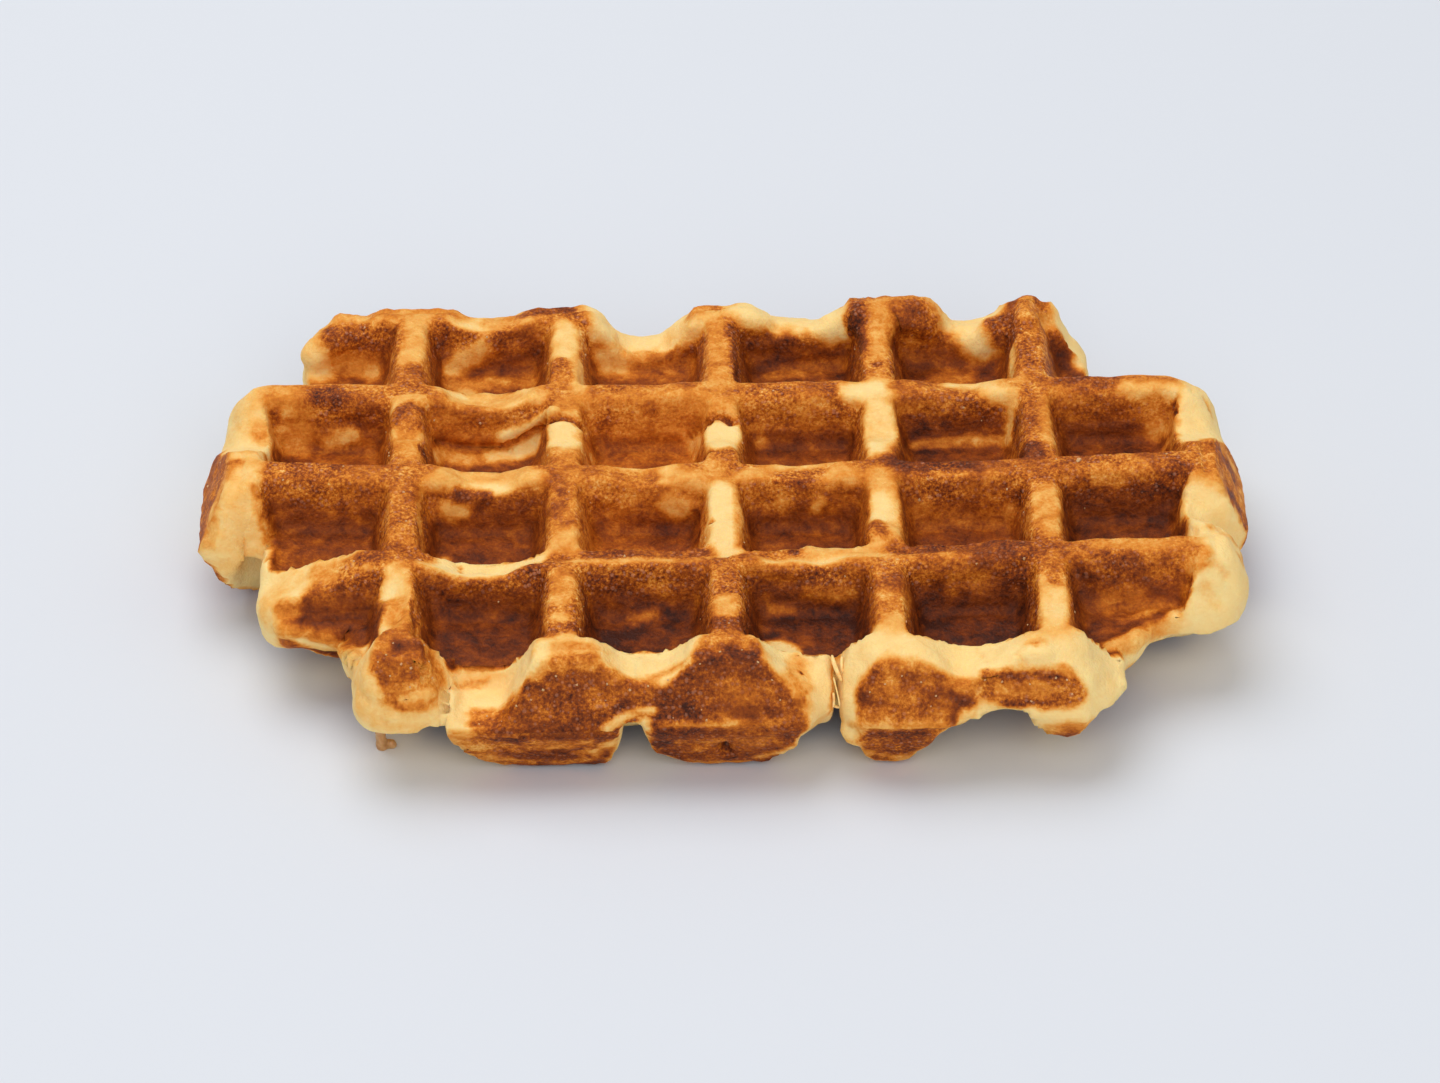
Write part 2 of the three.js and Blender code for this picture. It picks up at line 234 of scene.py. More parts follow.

# Single marks, each laid over those before it: level of baking, height in mm, radius in mm, and
# the corners of its path as the camera sees it, in a frame of 1440 by 1083. A few marks, noted
# where they stand, are painted shade or a painted sheen instead of browning.
MARKS = (
    # back row, from the left
    (BLOND, 1.8, 3.4, 316, 352, 330, 338, 348, 328), (PALE, 0, 3.6, 312, 352, 318, 368),
    (BROWN, 0, 3, 340, 340, 365, 340, 395, 345), (GOLD, 0, 2.5, 345, 365, 372, 372),
    (GOLD, 0, 2.5, 335, 323, 380, 314, 430, 312, 470, 314), (BLOND, 0, 2.5, 416, 318, 416, 350),
    (RUST, 0, 2.5, 413, 372, 413, 392), (DARK, 0, 2.5, 440, 342, 440, 366),
    (BLOND, 0.8, 2.2, 450, 375, 465, 358, 488, 345), (BROWN, 0, 4, 510, 345, 535, 355),
    (GOLD, 0, 2.2, 492, 322, 515, 318), (AMBER, 0, 2, 455, 384, 530, 384),
    (DARK, 0, 2.2, 530, 312, 555, 309, 582, 314), (PALE, 0, 2.6, 564, 326, 564, 352),
    (RUST, 0.4, 1.2, 553, 378, 556, 366, 562, 362, 568, 368, 571, 380),
    (BLOND, 0, 1.8, 579, 365, 582, 390), (DARK, 0, 1.6, 588, 325, 592, 345, 598, 370),
    (CREAM, 0.6, 4.5, 600, 322, 615, 340, 640, 348, 665, 338), (BLOND, 0, 3.5, 610, 362, 628, 368),
    (RUST, 0, 4, 650, 375, 690, 372), (BROWN, 0, 2.5, 698, 345, 700, 380),
    (PALE, 0, 2.5, 672, 340, 705, 315), (GOLD, 0, 3, 700, 310, 730, 308), (RUST, 0, 1.5, 716, 310),
    (GOLD, 0, 2.6, 717, 325, 718, 385), (DARK, 0, 1.5, 734, 330, 738, 380),
    (CREAM, 0.8, 4, 750, 312, 785, 322, 815, 328, 840, 318),
    (DARK, 0, 3, 742, 345, 775, 350, 810, 355), (RUST, 0, 1.8, 770, 376, 845, 366),
    (CREAM, 0, 2.2, 836, 318, 842, 330), (AMBER, 2.2, 4.4, 876, 316, 895, 313, 922, 314),
    (DARK, 0, 2.2, 858, 322, 862, 345), (CHARRED, 0, 1.2, 862, 326, 864, 348),
    (RUST, 0, 2, 860, 308, 885, 305), (GOLD, 0, 2, 878, 315, 878, 365), (DARK, 0, 1, 876, 364),
    (DARK, 0, 1.6, 893, 325, 896, 370), (DARK, 0, 2.2, 896, 326, 915, 322),
    (GOLD, 0, 3, 930, 315, 940, 325), (CREAM, 0.5, 4, 945, 308, 962, 325, 975, 338),
    (BROWN, 0, 4, 910, 345, 945, 350), (BLOND, 0, 1.4, 924, 304, 933, 316, 938, 328),
    (CREAM, 0.3, 1.8, 934, 303, 941, 315, 946, 328), (CREAM, 0.4, 3.5, 972, 335, 985, 338),
    (DARK, 0, 3, 1000, 325, 1010, 340), (DARK, -1.2, 2.5, 1003, 312), (AMBER, -1.2, 3, 1047, 312),
    (AMBER, 1.6, 2.4, 1026, 306, 1028, 318), (GOLD, 0, 2.5, 1052, 320, 1060, 335),
    # the rust stroke below stands for a painted sheen on the dark crust
    (RUST, 0, 2.5, 1028, 340, 1032, 360), (DARK, 0, 2.5, 1055, 345, 1062, 362),
    (CREAM, 0.3, 2.5, 1075, 330, 1082, 365), (BLOND, 0, 1.6, 1012, 350, 1012, 378),
    # rib between the back row and the second row
    (GOLD, 0, 2, 268, 392, 300, 393), (BLOND, 0, 1.8, 465, 392, 500, 397, 540, 396),
    (GOLD, 0, 2.5, 565, 404, 600, 402, 650, 403, 705, 404),
    (RUSSET, 0, 2, 745, 397, 800, 393, 840, 388), (BLOND, 0, 2.5, 850, 390),
    (CREAM, 0, 3, 858, 390, 888, 390), (RUST, 0, 2.2, 900, 386, 965, 380),
    (PALE, 0, 2.2, 982, 388, 1003, 395), (GOLD, 0, 1.5, 1020, 380),
    (BROWN, 0, 2.2, 1045, 382, 1110, 382), (BLOND, 0, 2.2, 1128, 388, 1165, 390),
    # second row
    (PALE, 0, 5, 245, 400, 245, 440, 262, 425), (GOLD, 0, 3.8, 281, 395, 300, 408, 293, 432),
    (GOLD, 0, 2, 268, 440, 262, 432), (BROWN, 0, 1.2, 274, 415, 277, 420),
    (DARK, 0, 2.5, 322, 396, 338, 400), (BROWN, 0, 4, 365, 415, 370, 445),
    (WHEAT, 0.4, 1.7, 330, 441, 352, 436), (DARK, 0, 1.3, 264, 452, 275, 458, 292, 462),
    (BLOND, 0.3, 1.5, 394, 410, 400, 399, 413, 397, 423, 402), (RUST, 1, 2.4, 408, 415, 408, 427),
    (BROWN, 0, 0.8, 396, 425, 400, 410, 410, 406, 418, 412, 421, 428),
    (GOLD, 0, 2.2, 405, 440, 410, 455), (DARK, 0, 1, 422, 450, 425, 460),
    (RUST, 0, 4, 440, 420, 490, 425), (PALE, 0.2, 2.2, 495, 458, 515, 452, 535, 445),
    (GOLD, 0, 2, 435, 455, 470, 462), (PALE, 0.9, 1.1, 505, 437, 530, 424, 552, 413),
    # the two brown strokes below follow a crack in the dough: a real groove, its darkness painted
    # shade in the crack
    (BROWN, -0.8, 0.7, 430, 437, 441, 443, 466, 448, 489, 448),
    (BROWN, -1.4, 0.65, 486, 448, 502, 446, 518, 441, 537, 429, 555, 419),
    (CREAM, 0.5, 2.6, 564, 428, 564, 446),
    # the dark stroke that opens this line follows a gap beside the rib: a real groove, darkened as
    # painted shade
    (DARK, -1.2, 0.8, 552, 421, 562, 418, 575, 421, 584, 430), (GOLD, 0, 1.5, 583, 440, 592, 460),
    (BROWN, 0, 1, 545, 445, 540, 460), (AMBER, 0, 4, 610, 420, 660, 420, 690, 425),
    (BROWN, 0, 2, 603, 428), (RUST, 0, 2, 600, 452, 690, 455), (BLOND, 0, 2, 692, 440, 697, 448),
    (GOLD, 0, 2.5, 705, 403, 732, 403), (CREAM, 0.3, 2.6, 720, 432, 720, 446),
    # the dark strokes on this line and the next, and the rust stroke after them, follow cracks:
    # real grooves, darkened as painted shade
    (DARK, -1.5, 0.9, 704, 424, 712, 415, 722, 414, 731, 420), (AMBER, 0.6, 2, 715, 458, 730, 456),
    (DARK, -1, 0.7, 704, 461, 710, 453, 720, 451), (RUST, -0.6, 0.7, 690, 436, 704, 430),
    (AMBER, 0, 3, 760, 405, 820, 410), (DARK, 0, 2.5, 755, 445, 800, 450, 850, 445),
    (AMBER, 0, 1.6, 760, 442), (RUST, 0, 3, 840, 420), (PALE, 0, 2.8, 878, 405, 878, 440),
    (CREAM, 0, 2, 877, 445, 877, 455), (RUST, 0, 3, 905, 405, 965, 400),
    (DARK, 0, 2.5, 915, 425, 980, 425), (GOLD, 0.3, 1.1, 915, 445, 960, 442, 1005, 441),
    (BLOND, 0.3, 1.6, 1014, 395, 1010, 440), (RUST, 0, 2, 1030, 395, 1030, 440),
    (GOLD, 0, 1.8, 1046, 400, 1050, 440), (AMBER, 0, 2.5, 1155, 405, 1160, 425),
    (CREAM, 0, 4, 1195, 395, 1200, 430), (GOLD, 0, 1.3, 1173, 420, 1172, 445),
    (BURNT, -0.5, 0.9, 1174, 405, 1175, 411), (BLOND, -0.4, 0.7, 1207, 400, 1213, 415),
    (GOLD, 0, 1.6, 1158, 432, 1173, 428), (AMBER, 0, 1.4, 1166, 442, 1174, 438),
    # rib between the second and the third row
    (RUST, 0, 2.5, 300, 470, 385, 470), (BLOND, 0.3, 2.2, 437, 480, 470, 476, 500, 477, 535, 478),
    (AMBER, 0, 2.5, 548, 458, 580, 457, 575, 474), (AMBER, 0, 2.2, 600, 475, 650, 476),
    (BLOND, 0, 2.2, 680, 478, 700, 480), (BROWN, 0, 1.4, 645, 480, 650, 490),
    (BROWN, 0, 1.2, 618, 490), (GOLD, 0, 2.5, 715, 470), (BLOND, 0, 2, 745, 475, 775, 475),
    (RUST, 0, 2.5, 785, 478, 825, 474), (BLOND, 0, 2, 832, 475, 850, 474),
    (AMBER, 0, 1.8, 865, 466), (DARK, 0, 2.5, 885, 462, 930, 462, 970, 463),
    (BROWN, 0, 2.2, 980, 462, 1010, 462), (DARK, 0, 2.5, 1025, 452, 1035, 456),
    (RUST, 0, 2.5, 1062, 465, 1150, 465), (AMBER, 0, 4, 1205, 455, 1215, 470),
    (BROWN, 0, 2, 1172, 450), (RUST, 0, 1.2, 1203, 446, 1215, 443, 1225, 450),
    # third row
    (PALE, 0, 5, 232, 490, 228, 530, 235, 560), (PALE, 0, 3, 245, 470, 244, 520, 256, 560),
    (RUST, 0, 1.7, 221, 449, 211, 470, 204, 498, 200, 525),
    (GOLD, 0, 0.8, 233, 456, 226, 480, 215, 512, 208, 532), (CREAM, 0, 3, 238, 447, 262, 451),
    (PALE, 0, 1.5, 236, 457, 262, 457), (GOLD, 0, 0.7, 254, 486, 258, 512, 268, 548),
    (BROWN, 0, 1.6, 264, 494, 270, 515, 276, 535), (AMBER, 0, 3, 395, 490, 395, 530),
    (GOLD, 0, 1, 420, 490, 421, 530), (DARK, 0, 2.2, 432, 535, 500, 550),
    (BLOND, 0.3, 1.8, 448, 508, 465, 510), (DARK, 0, 1.6, 460, 494, 485, 498, 480, 508),
    (AMBER, 0, 2, 570, 505, 572, 525), (BLOND, 0, 2.2, 568, 535, 570, 547), (DARK, 0, 1, 560, 492),
    (AMBER, 0, 3, 600, 485, 640, 490), (DARK, 0, 2.5, 665, 540, 695, 520, 695, 540),
    (BLOND, 0.3, 2.2, 668, 502, 682, 508), (CREAM, 0, 3, 721, 490, 721, 548),
    (GOLD, 0, 0.9, 738, 490, 739, 545), (BURNT, -0.6, 0.6, 711, 521),
    (AMBER, 0, 2.5, 755, 490, 780, 500), (DARK, 0, 2.5, 750, 525, 800, 530, 850, 530),
    (BLOND, 0, 0.9, 781, 500), (DARK, 0, 1.1, 797, 486), (GOLD, 0.3, 1, 815, 508, 822, 500),
    (BLOND, 0, 2.4, 880, 475, 884, 490), (CREAM, 0, 2.3, 881, 500, 881, 515),
    (BROWN, 0.6, 1.8, 868, 535, 876, 527, 885, 533), (BLOND, 0, 1.6, 897, 525, 898, 540),
    (RUST, 0, 3, 930, 515, 1000, 515), (GOLD, 0, 2.2, 1048, 490, 1052, 530),
    (DARK, 0, 3, 1080, 505, 1120, 505, 1170, 500), (AMBER, 0, 2, 1100, 472, 1160, 470),
    (DARK, 0, 2.2, 1180, 470, 1178, 515),
    (AMBER, 0, 2.6, 1198, 452, 1218, 456, 1230, 478, 1240, 500),
    (GOLD, 0, 1.8, 1194, 478, 1214, 476, 1224, 488), (CREAM, 0, 4.4, 1205, 505, 1228, 525),
    (CREAM, 0, 2.4, 1196, 495, 1194, 530), (PALE, -0.6, 1.4, 1195, 530, 1222, 528),
    (TOFFEE, 0, 2, 1226, 451, 1239, 477, 1244, 506),
    (CREAM, 0, 2, 1216, 537, 1232, 542, 1240, 556, 1245, 572),
    # rib between the third and the front row
    (PALE, 0, 3, 268, 600, 285, 585, 306, 574), (GOLD, 0, 2.2, 320, 572, 340, 566),
    (AMBER, 0, 2, 345, 570, 362, 558), (BROWN, 0, 2.2, 375, 555, 390, 552),
    (RUST, 0, 2.5, 400, 552, 425, 556), (CREAM, 0, 2.6, 455, 565, 485, 568),
    (GOLD, 0, 1.2, 446, 560), (AMBER, -0.4, 0.6, 460, 568, 461, 577),
    (BROWN, 0, 3, 520, 570, 545, 570), (RUST, 0, 2.2, 560, 560),
    (BROWN, 0.6, 2.4, 590, 558, 700, 555), (RUST, 0, 2.2, 720, 560),
    (AMBER, 0.6, 2.2, 745, 559, 800, 558), (DARK, 0, 1.2, 795, 556),
    (BLOND, 0.6, 2.2, 815, 556, 880, 552), (UMBER, 0.5, 3.4, 905, 552, 960, 553, 1020, 548),
    (RUST, 0, 2.2, 1050, 545, 1060, 548), (GOLD, 0, 2, 1100, 546, 1180, 543),
    # front row
    (BROWN, 0, 3, 322, 598, 350, 594, 372, 588), (AMBER, 0, 1.8, 280, 612, 292, 610),
    (DARK, 0, 2.2, 345, 630, 358, 648), (PALE, 0, 2.5, 265, 612, 275, 630),
    (BROWN, 0, 1.5, 284, 642, 310, 653, 338, 662),
    (GOLD, 1, 1.4, 280, 630, 304, 630, 330, 637, 345, 648, 355, 663),
    (GOLD, 0, 2.2, 398, 603, 400, 632), (DARK, -0.4, 0.8, 413, 602, 417, 636),
    (BROWN, 0, 3, 500, 595, 530, 600), (DARK, 0, 3.5, 440, 620, 500, 625),
    (GOLD, 0, 2.2, 562, 575, 560, 600), (BLOND, 0, 1.8, 560, 618),
    (RUST, 0, 1.6, 550, 628, 575, 628), (DARK, 0, 0.9, 575, 628), (RUST, 0, 3, 660, 585, 695, 590),
    (DARK, 0, 3, 600, 590, 610, 615), (RUST, 0.5, 1.2, 635, 622, 656, 612),
    (BURNT, 0, 2, 650, 635, 620, 640), (RUST, 0, 2, 728, 570, 728, 590),
    (BLOND, 0, 2, 726, 600, 726, 612), (DARK, 0, 2.2, 760, 590, 765, 602), (RUST, 0, 2, 785, 575),
    (AMBER, 0.3, 2.2, 815, 590, 845, 592), (BURNT, 0, 4, 800, 622, 840, 627),
    (RUST, 0.3, 0.9, 772, 609, 790, 611), (RUST, 0, 2, 892, 570, 893, 585),
    (AMBER, 0, 2, 893, 595, 895, 612), (BLOND, 0, 2, 895, 622),
    (RUST, 0.2, 1.2, 940, 573, 962, 570), (RUST, 0, 2, 955, 585, 980, 582),
    (BURNT, 0, 3, 930, 622, 1000, 635), (AMBER, 0, 1.8, 1052, 565, 1054, 580),
    (PALE, 0, 2.2, 1054, 595, 1054, 620), (RUST, 0, 4, 1115, 600, 1150, 600),
    (DARK, 0, 2.2, 1078, 575, 1085, 620), (DARK, 0, 2, 1112, 562, 1132, 562),
    (BROWN, 0, 2.5, 1160, 580, 1185, 585), (DARK, 0, 1.4, 1105, 634, 1145, 622, 1180, 610),
    (AMBER, 0.3, 0.9, 1122, 621, 1152, 613), (BLOND, 0.6, 1.8, 1110, 648, 1140, 636, 1172, 624),
    (CREAM, 0.4, 5, 1218, 565, 1228, 595, 1208, 618),
    (CREAM, 0, 2.6, 1205, 552, 1222, 545, 1234, 558), (CREAM, 0, 2, 1238, 565, 1246, 590),
    (AMBER, 0, 2, 1180, 546, 1200, 556), (GOLD, 0, 1.4, 1196, 566, 1202, 556),
    (PALE, -0.4, 1.1, 1205, 588, 1215, 604), (PALE, -0.6, 0.7, 1214, 560, 1226, 575),
    # the knob at the front left
    (PALE, 0.4, 3, 357, 665, 362, 700, 385, 722, 410, 724, 432, 708, 444, 690, 446, 672),
    (AMBER, 0, 3, 384, 655, 405, 652, 428, 657, 434, 672, 428, 688, 408, 697, 390, 684, 384, 668),
    (AMBER, 0, 3, 400, 668, 415, 675), (RUST, 0, 2.2, 386, 660, 394, 676, 408, 664),
    (AMBER, 0, 2.4, 430, 660, 436, 676, 430, 690, 414, 698),
    (BROWN, 0, 1.5, 384, 654, 404, 650, 426, 654), (AMBER, 0, 1.8, 388, 634, 418, 634),
    (DARK, 0, 1, 396, 645, 410, 645, 424, 648), (BROWN, 0, 0.8, 378, 672, 384, 682),
    (BROWN, 0, 0.7, 412, 664, 416, 676), (BLOND, 0.2, 1, 404, 699, 418, 699, 430, 693),
    (PALE, 0.2, 1.3, 366, 652, 366, 675, 376, 694),
    (PALE, -0.5, 0.6, 370, 698, 386, 708, 400, 716, 428, 714),
    (PALE, -0.5, 0.6, 362, 694, 375, 709, 386, 722),
    # the web beside it, and the lobe of the third rib
    (DARK, 0, 1.3, 450, 664, 475, 666, 502, 664), (PALE, 0, 1.8, 455, 684, 495, 683),
    (GOLD, -0.5, 0.6, 448, 690, 466, 682, 480, 687), (AMBER, -0.6, 0.4, 478, 683, 488, 681),
    (CREAM, 0, 3, 455, 700, 453, 722, 460, 738), (PALE, 0, 1.5, 545, 642, 575, 637, 600, 643),
    (PALE, 0, 2, 606, 655, 618, 678),
    (BROWN, 0, 3.4, 574, 680, 592, 694, 560, 702, 530, 710, 506, 718),
    (UMBER, 0, 2.5, 565, 692, 590, 702), (AMBER, 0, 1.6, 560, 664, 578, 661, 594, 665),
    (GOLD, 0, 1.4, 555, 650, 592, 649), (CREAM, 0, 2, 542, 652, 526, 670, 508, 684, 480, 697),
    (GOLD, 0, 0.7, 549, 668, 536, 680), (BROWN, 0, 1.5, 478, 722, 500, 718, 524, 712, 545, 704),
    (AMBER, 0, 1.3, 475, 713, 490, 712), (DARK, 0, 1.2, 545, 702, 556, 690),
    (RUST, 0, 2, 600, 700, 606, 680), (CREAM, 0, 2.6, 625, 664, 650, 667),
    (BROWN, 0, 2.2, 612, 692, 645, 693), (PALE, 0.3, 1, 608, 728, 622, 718, 638, 711, 654, 711),
    (GOLD, 0, 1.6, 456, 738, 470, 748, 490, 753), (AMBER, 0, 1.8, 472, 742, 500, 746, 520, 748),
    (AMBER, 0, 2, 535, 744, 560, 746, 585, 743), (BLOND, 0, 1.1, 585, 754, 602, 750, 612, 742),
    (GOLD, 0, 0.9, 480, 758, 550, 763, 600, 760), (GOLD, 0.3, 0.6, 455, 733, 480, 734, 515, 735),
    # the brown stroke below is a painted shadow under the lip at the parting line, over a shallow
    # groove
    (BROWN, -0.5, 0.5, 520, 735, 575, 735, 612, 733),
    # the lobe of the fourth rib
    (DARK, 0, 1.3, 766, 630, 796, 636, 818, 646, 840, 650), (DARK, 0, 1.6, 714, 624, 742, 624),
    (AMBER, 0, 1.5, 700, 644, 730, 635, 752, 645), (BROWN, 0, 4.5, 730, 682, 700, 700, 765, 702),
    (DARK, 0, 1.2, 672, 711, 720, 712, 775, 711), (CREAM, 0, 2.4, 640, 668, 670, 660, 690, 645),
    (GOLD, 0, 0.9, 650, 680, 690, 660), (CREAM, 0, 2, 776, 646, 800, 654, 822, 664),
    (CREAM, 0, 2.6, 820, 670, 823, 690, 822, 706), (BLOND, 0, 2, 796, 664, 802, 684, 804, 704),
    (GOLD, 0, 0.9, 791, 672, 797, 690, 801, 705), (AMBER, 0, 0.6, 803, 700, 805, 694),
    (BURNT, 0, 0.5, 802, 673), (BROWN, 0, 1.4, 788, 706, 798, 722),
    (GOLD, 0.4, 0.8, 662, 723, 700, 724, 743, 724), (RUST, 0.2, 0.8, 743, 724, 785, 721),
    # the first brown stroke below is a painted shadow under the lip at the parting line, over a
    # shallow groove
    (BROWN, -0.5, 0.5, 662, 731, 720, 731, 765, 730), (RUST, 0, 2.6, 680, 744, 720, 746, 765, 742),
    (BROWN, 0, 1.4, 775, 738, 790, 730), (GOLD, 0, 1, 655, 757, 690, 762, 740, 761, 775, 753),
    # the burnt stroke below is a narrow pit painted near black: painted shade in the hole
    (BURNT, -3, 1, 725, 747, 728, 751), (CREAM, 0, 1.4, 646, 722, 645, 738, 650, 752),
    (PALE, 0.3, 1.2, 785, 750, 800, 740, 812, 727, 822, 716),
    (GOLD, 0, 0.6, 832, 662, 834, 690, 832, 712),
    # the lobes of the fifth and the sixth rib
    (CREAM, 0, 3, 865, 640, 900, 645, 940, 655), (CREAM, 0, 1.4, 846, 662, 845, 690, 846, 712),
    (CHESTNUT, 0, 4.5, 890, 690, 925, 694), (CHESTNUT, 0, 2.2, 868, 690, 867, 704, 885, 708),
    (DARK, 0, 1.3, 864, 700, 870, 708), (AMBER, 0, 1, 884, 667, 905, 665, 930, 669),
    (AMBER, 0, 1.4, 892, 682, 898, 696), (BROWN, 0, 1.6, 932, 682, 942, 696, 945, 706),
    (CREAM, 0, 1.6, 872, 654, 858, 667, 848, 682), (CREAM, 0, 1.8, 930, 655, 950, 666, 966, 673),
    (PALE, 1.4, 1.8, 852, 732, 858, 743), (PALE, 0, 1.2, 842, 716, 845, 732, 856, 746),
    (RUST, 0, 1.6, 862, 716, 905, 718, 940, 716), (GOLD, 0.4, 0.8, 852, 725, 905, 726, 950, 724),
    # the first brown stroke below is a painted shadow under the lip at the parting line, over a
    # shallow groove
    (BROWN, -0.3, 0.5, 858, 731, 905, 731, 950, 730), (BROWN, 0, 2, 872, 740, 905, 745, 936, 738),
    (GOLD, 0, 0.7, 852, 745, 870, 752, 896, 756, 924, 753, 946, 744),
    (PALE, 0, 1.2, 966, 716, 958, 730, 950, 740),
    (CREAM, 0, 2.6, 962, 655, 1000, 657, 1040, 657, 1085, 655), (AMBER, 0, 1.6, 955, 684, 975, 690),
    (HONEY, 0, 2.1, 990, 690, 1030, 689, 1070, 690), (BROWN, 0, 1, 988, 674, 990, 700),
    (RUST, 0, 1.6, 1064, 684, 1076, 694), (BROWN, 0, 0.9, 1058, 700, 1070, 704),
    (GOLD, 0, 1, 1064, 668, 1070, 674), (CREAM, 0, 2, 985, 712, 1010, 710, 1040, 722, 1050, 728),
    (CREAM, 0, 1.8, 1075, 724, 1092, 712), (CREAM, 0, 3, 1100, 670, 1104, 690),
    (CREAM, 0, 1.6, 1030, 714, 1050, 718, 1072, 717, 1088, 706),
    (CREAM, 0, 1.8, 1036, 722, 1062, 727, 1086, 717), (GOLD, 0, 2.2, 1056, 731, 1080, 728),
    (AMBER, 0, 0.7, 1054, 733, 1066, 733), (PALE, -0.5, 0.6, 978, 650, 985, 662),
    (PALE, -0.5, 0.6, 1018, 652, 1026, 664),
)


# ---------------------------------------------------------------- the baked form

def smooth_min(a, b, width):
    h = np.clip(0.5 + 0.5 * (b - a) / width, 0, 1)
    return b * (1 - h) + a * h - width * h * (1 - h)


def smooth_max(a, b, width):
    return -smooth_min(-a, -b, width)


def smooth_step(low, high, value):
    t = np.clip((value - low) / (high - low), 0, 1)
    return t * t * (3 - 2 * t)


def nearest_line(value, pitch, count):
    return np.clip(np.round(value / pitch + count / 2), 0, count).astype(int)


def nearest_cell(value, pitch, count):
    return np.clip(np.floor(value / pitch + count / 2), 0, count - 1).astype(int)


def distance_to_rib(value, pitch, count):
    return np.abs(value - pitch * (nearest_line(value, pitch, count) - count / 2))


def iron_height(x, y):
    """Height of a plate's face over the mid plane."""
    inside = (np.abs(x) < HALF_X) & (np.abs(y) < HALF_Y)
    to_rib = smooth_min(distance_to_rib(x, *GRID_X), distance_to_rib(y, *GRID_Y), POCKET_CORNER)
    ramp = np.where(inside, (to_rib - RIB_WIDTH / 2) / BOSS_SLOPE, 0)
    boss = smooth_min(smooth_max(ramp, 0, POCKET_EDGE), 1, POCKET_EDGE)
    beyond = smooth_max(np.abs(x) - HALF_X, np.abs(y) - HALF_Y, WALL_CORNER) - RIB_WIDTH / 2
    wall = HALF * (1 - beyond / WALL_SLOPE)
    return smooth_min(HALF - POCKET_DEPTH * np.clip(boss, 0, 1), wall, WALL_BLEND)


def inside_dough(x, y):
    """Distance inside the dough's outline, negative outside it."""
    depth = np.full(x.shape, -FAR)
    for from_x, to_x, from_y, to_y, radius in BANDS:
        out_x = np.abs(x - (from_x + to_x) / 2) - ((to_x - from_x) / 2 - radius)
        out_y = np.abs(y - (from_y + to_y) / 2) - ((to_y - from_y) / 2 - radius)
        corner = np.hypot(np.maximum(out_x, 0), np.maximum(out_y, 0))
        band = radius - corner - np.minimum(np.maximum(out_x, out_y), 0)
        depth = smooth_max(depth, band, BAND_BLEND)
    for knob_x, knob_y, radius in KNOBS:
        depth = smooth_max(depth, radius - np.hypot(x - knob_x, y - knob_y), LOBE_BLEND)
    for gap_x, gap_y, radius in GAPS:
        depth = smooth_min(depth, np.hypot(x - gap_x, y - gap_y) - radius, LOBE_BLEND)
    return depth


def cleave(depth, x, y, clefts):
    """The distance inside the outline once the narrow clefts are in it."""
    for cleft_x, inner_y, outer_y, inner_radius, outer_radius, _ in clefts:
        part = np.clip((inner_y - y) / (inner_y - outer_y), 0, 1)
        away = np.hypot(x - cleft_x, y - inner_y - part * (outer_y - inner_y))
        away -= inner_radius + part * (outer_radius - inner_radius)
        depth = smooth_min(depth, away * CLEFT_SHARPNESS, CLEFT_BLEND)
    return depth


def rib_shortfall(across, across_grid, along, along_grid, table):
    """How far the dough stayed short over the nearest of the ribs that run one way."""
    line = nearest_line(across, *across_grid)
    cell = nearest_cell(along, *along_grid)
    pitch, count = across_grid
    off = across - pitch * (line - count / 2)
    outside = ((line == 0) & (off < 0)) | ((line == count) & (off > 0))
    off = np.where(outside, 0, np.abs(off))
    beside = 1 - smooth_step(RIB_WIDTH / 2, RIB_WIDTH / 2 + FADE_BESIDE, off)
    pitch, count = along_grid
    part = along / pitch + count / 2 - cell
    fade = smooth_step(FADE_FROM, FADE_TO, part) * smooth_step(FADE_FROM, FADE_TO, 1 - part)
    return (np.array(table)[line, cell] + OVERFILL) * fade * beside


def shortfall(x, y, cross, along):
    """How far short of the plate the dough stayed, over the nearest stretches of rib."""
    crossing = rib_shortfall(-y, GRID_Y, x, GRID_X, cross)
    lengthwise = rib_shortfall(x, GRID_X, -y, GRID_Y, along)
    return np.maximum(np.maximum(crossing, lengthwise), 0)


def dips(x, y, table):
    depth = np.zeros(x.shape)
    for dip_x, dip_y, radius, deepest in table:
        reach = np.hypot(x - dip_x, y - dip_y) / radius
        depth += deepest * np.exp(-DIP_FALLOFF * reach * reach)
    return depth


def dough_level(x, y, cross, along, hollows):
    """Height of the dough over the mid plane, before it rounds off at the edge."""
    level = HALF + OVERFILL - shortfall(x, y, cross, along) - dips(x, y, hollows)
    return np.maximum(level, LEAST_HEIGHT)


def under_dough(height, level, inward):
    """How deep a point lies under the dough's own round surface."""
    return level * (1 - np.hypot(np.maximum(height, 0) / level, 1 - inward))


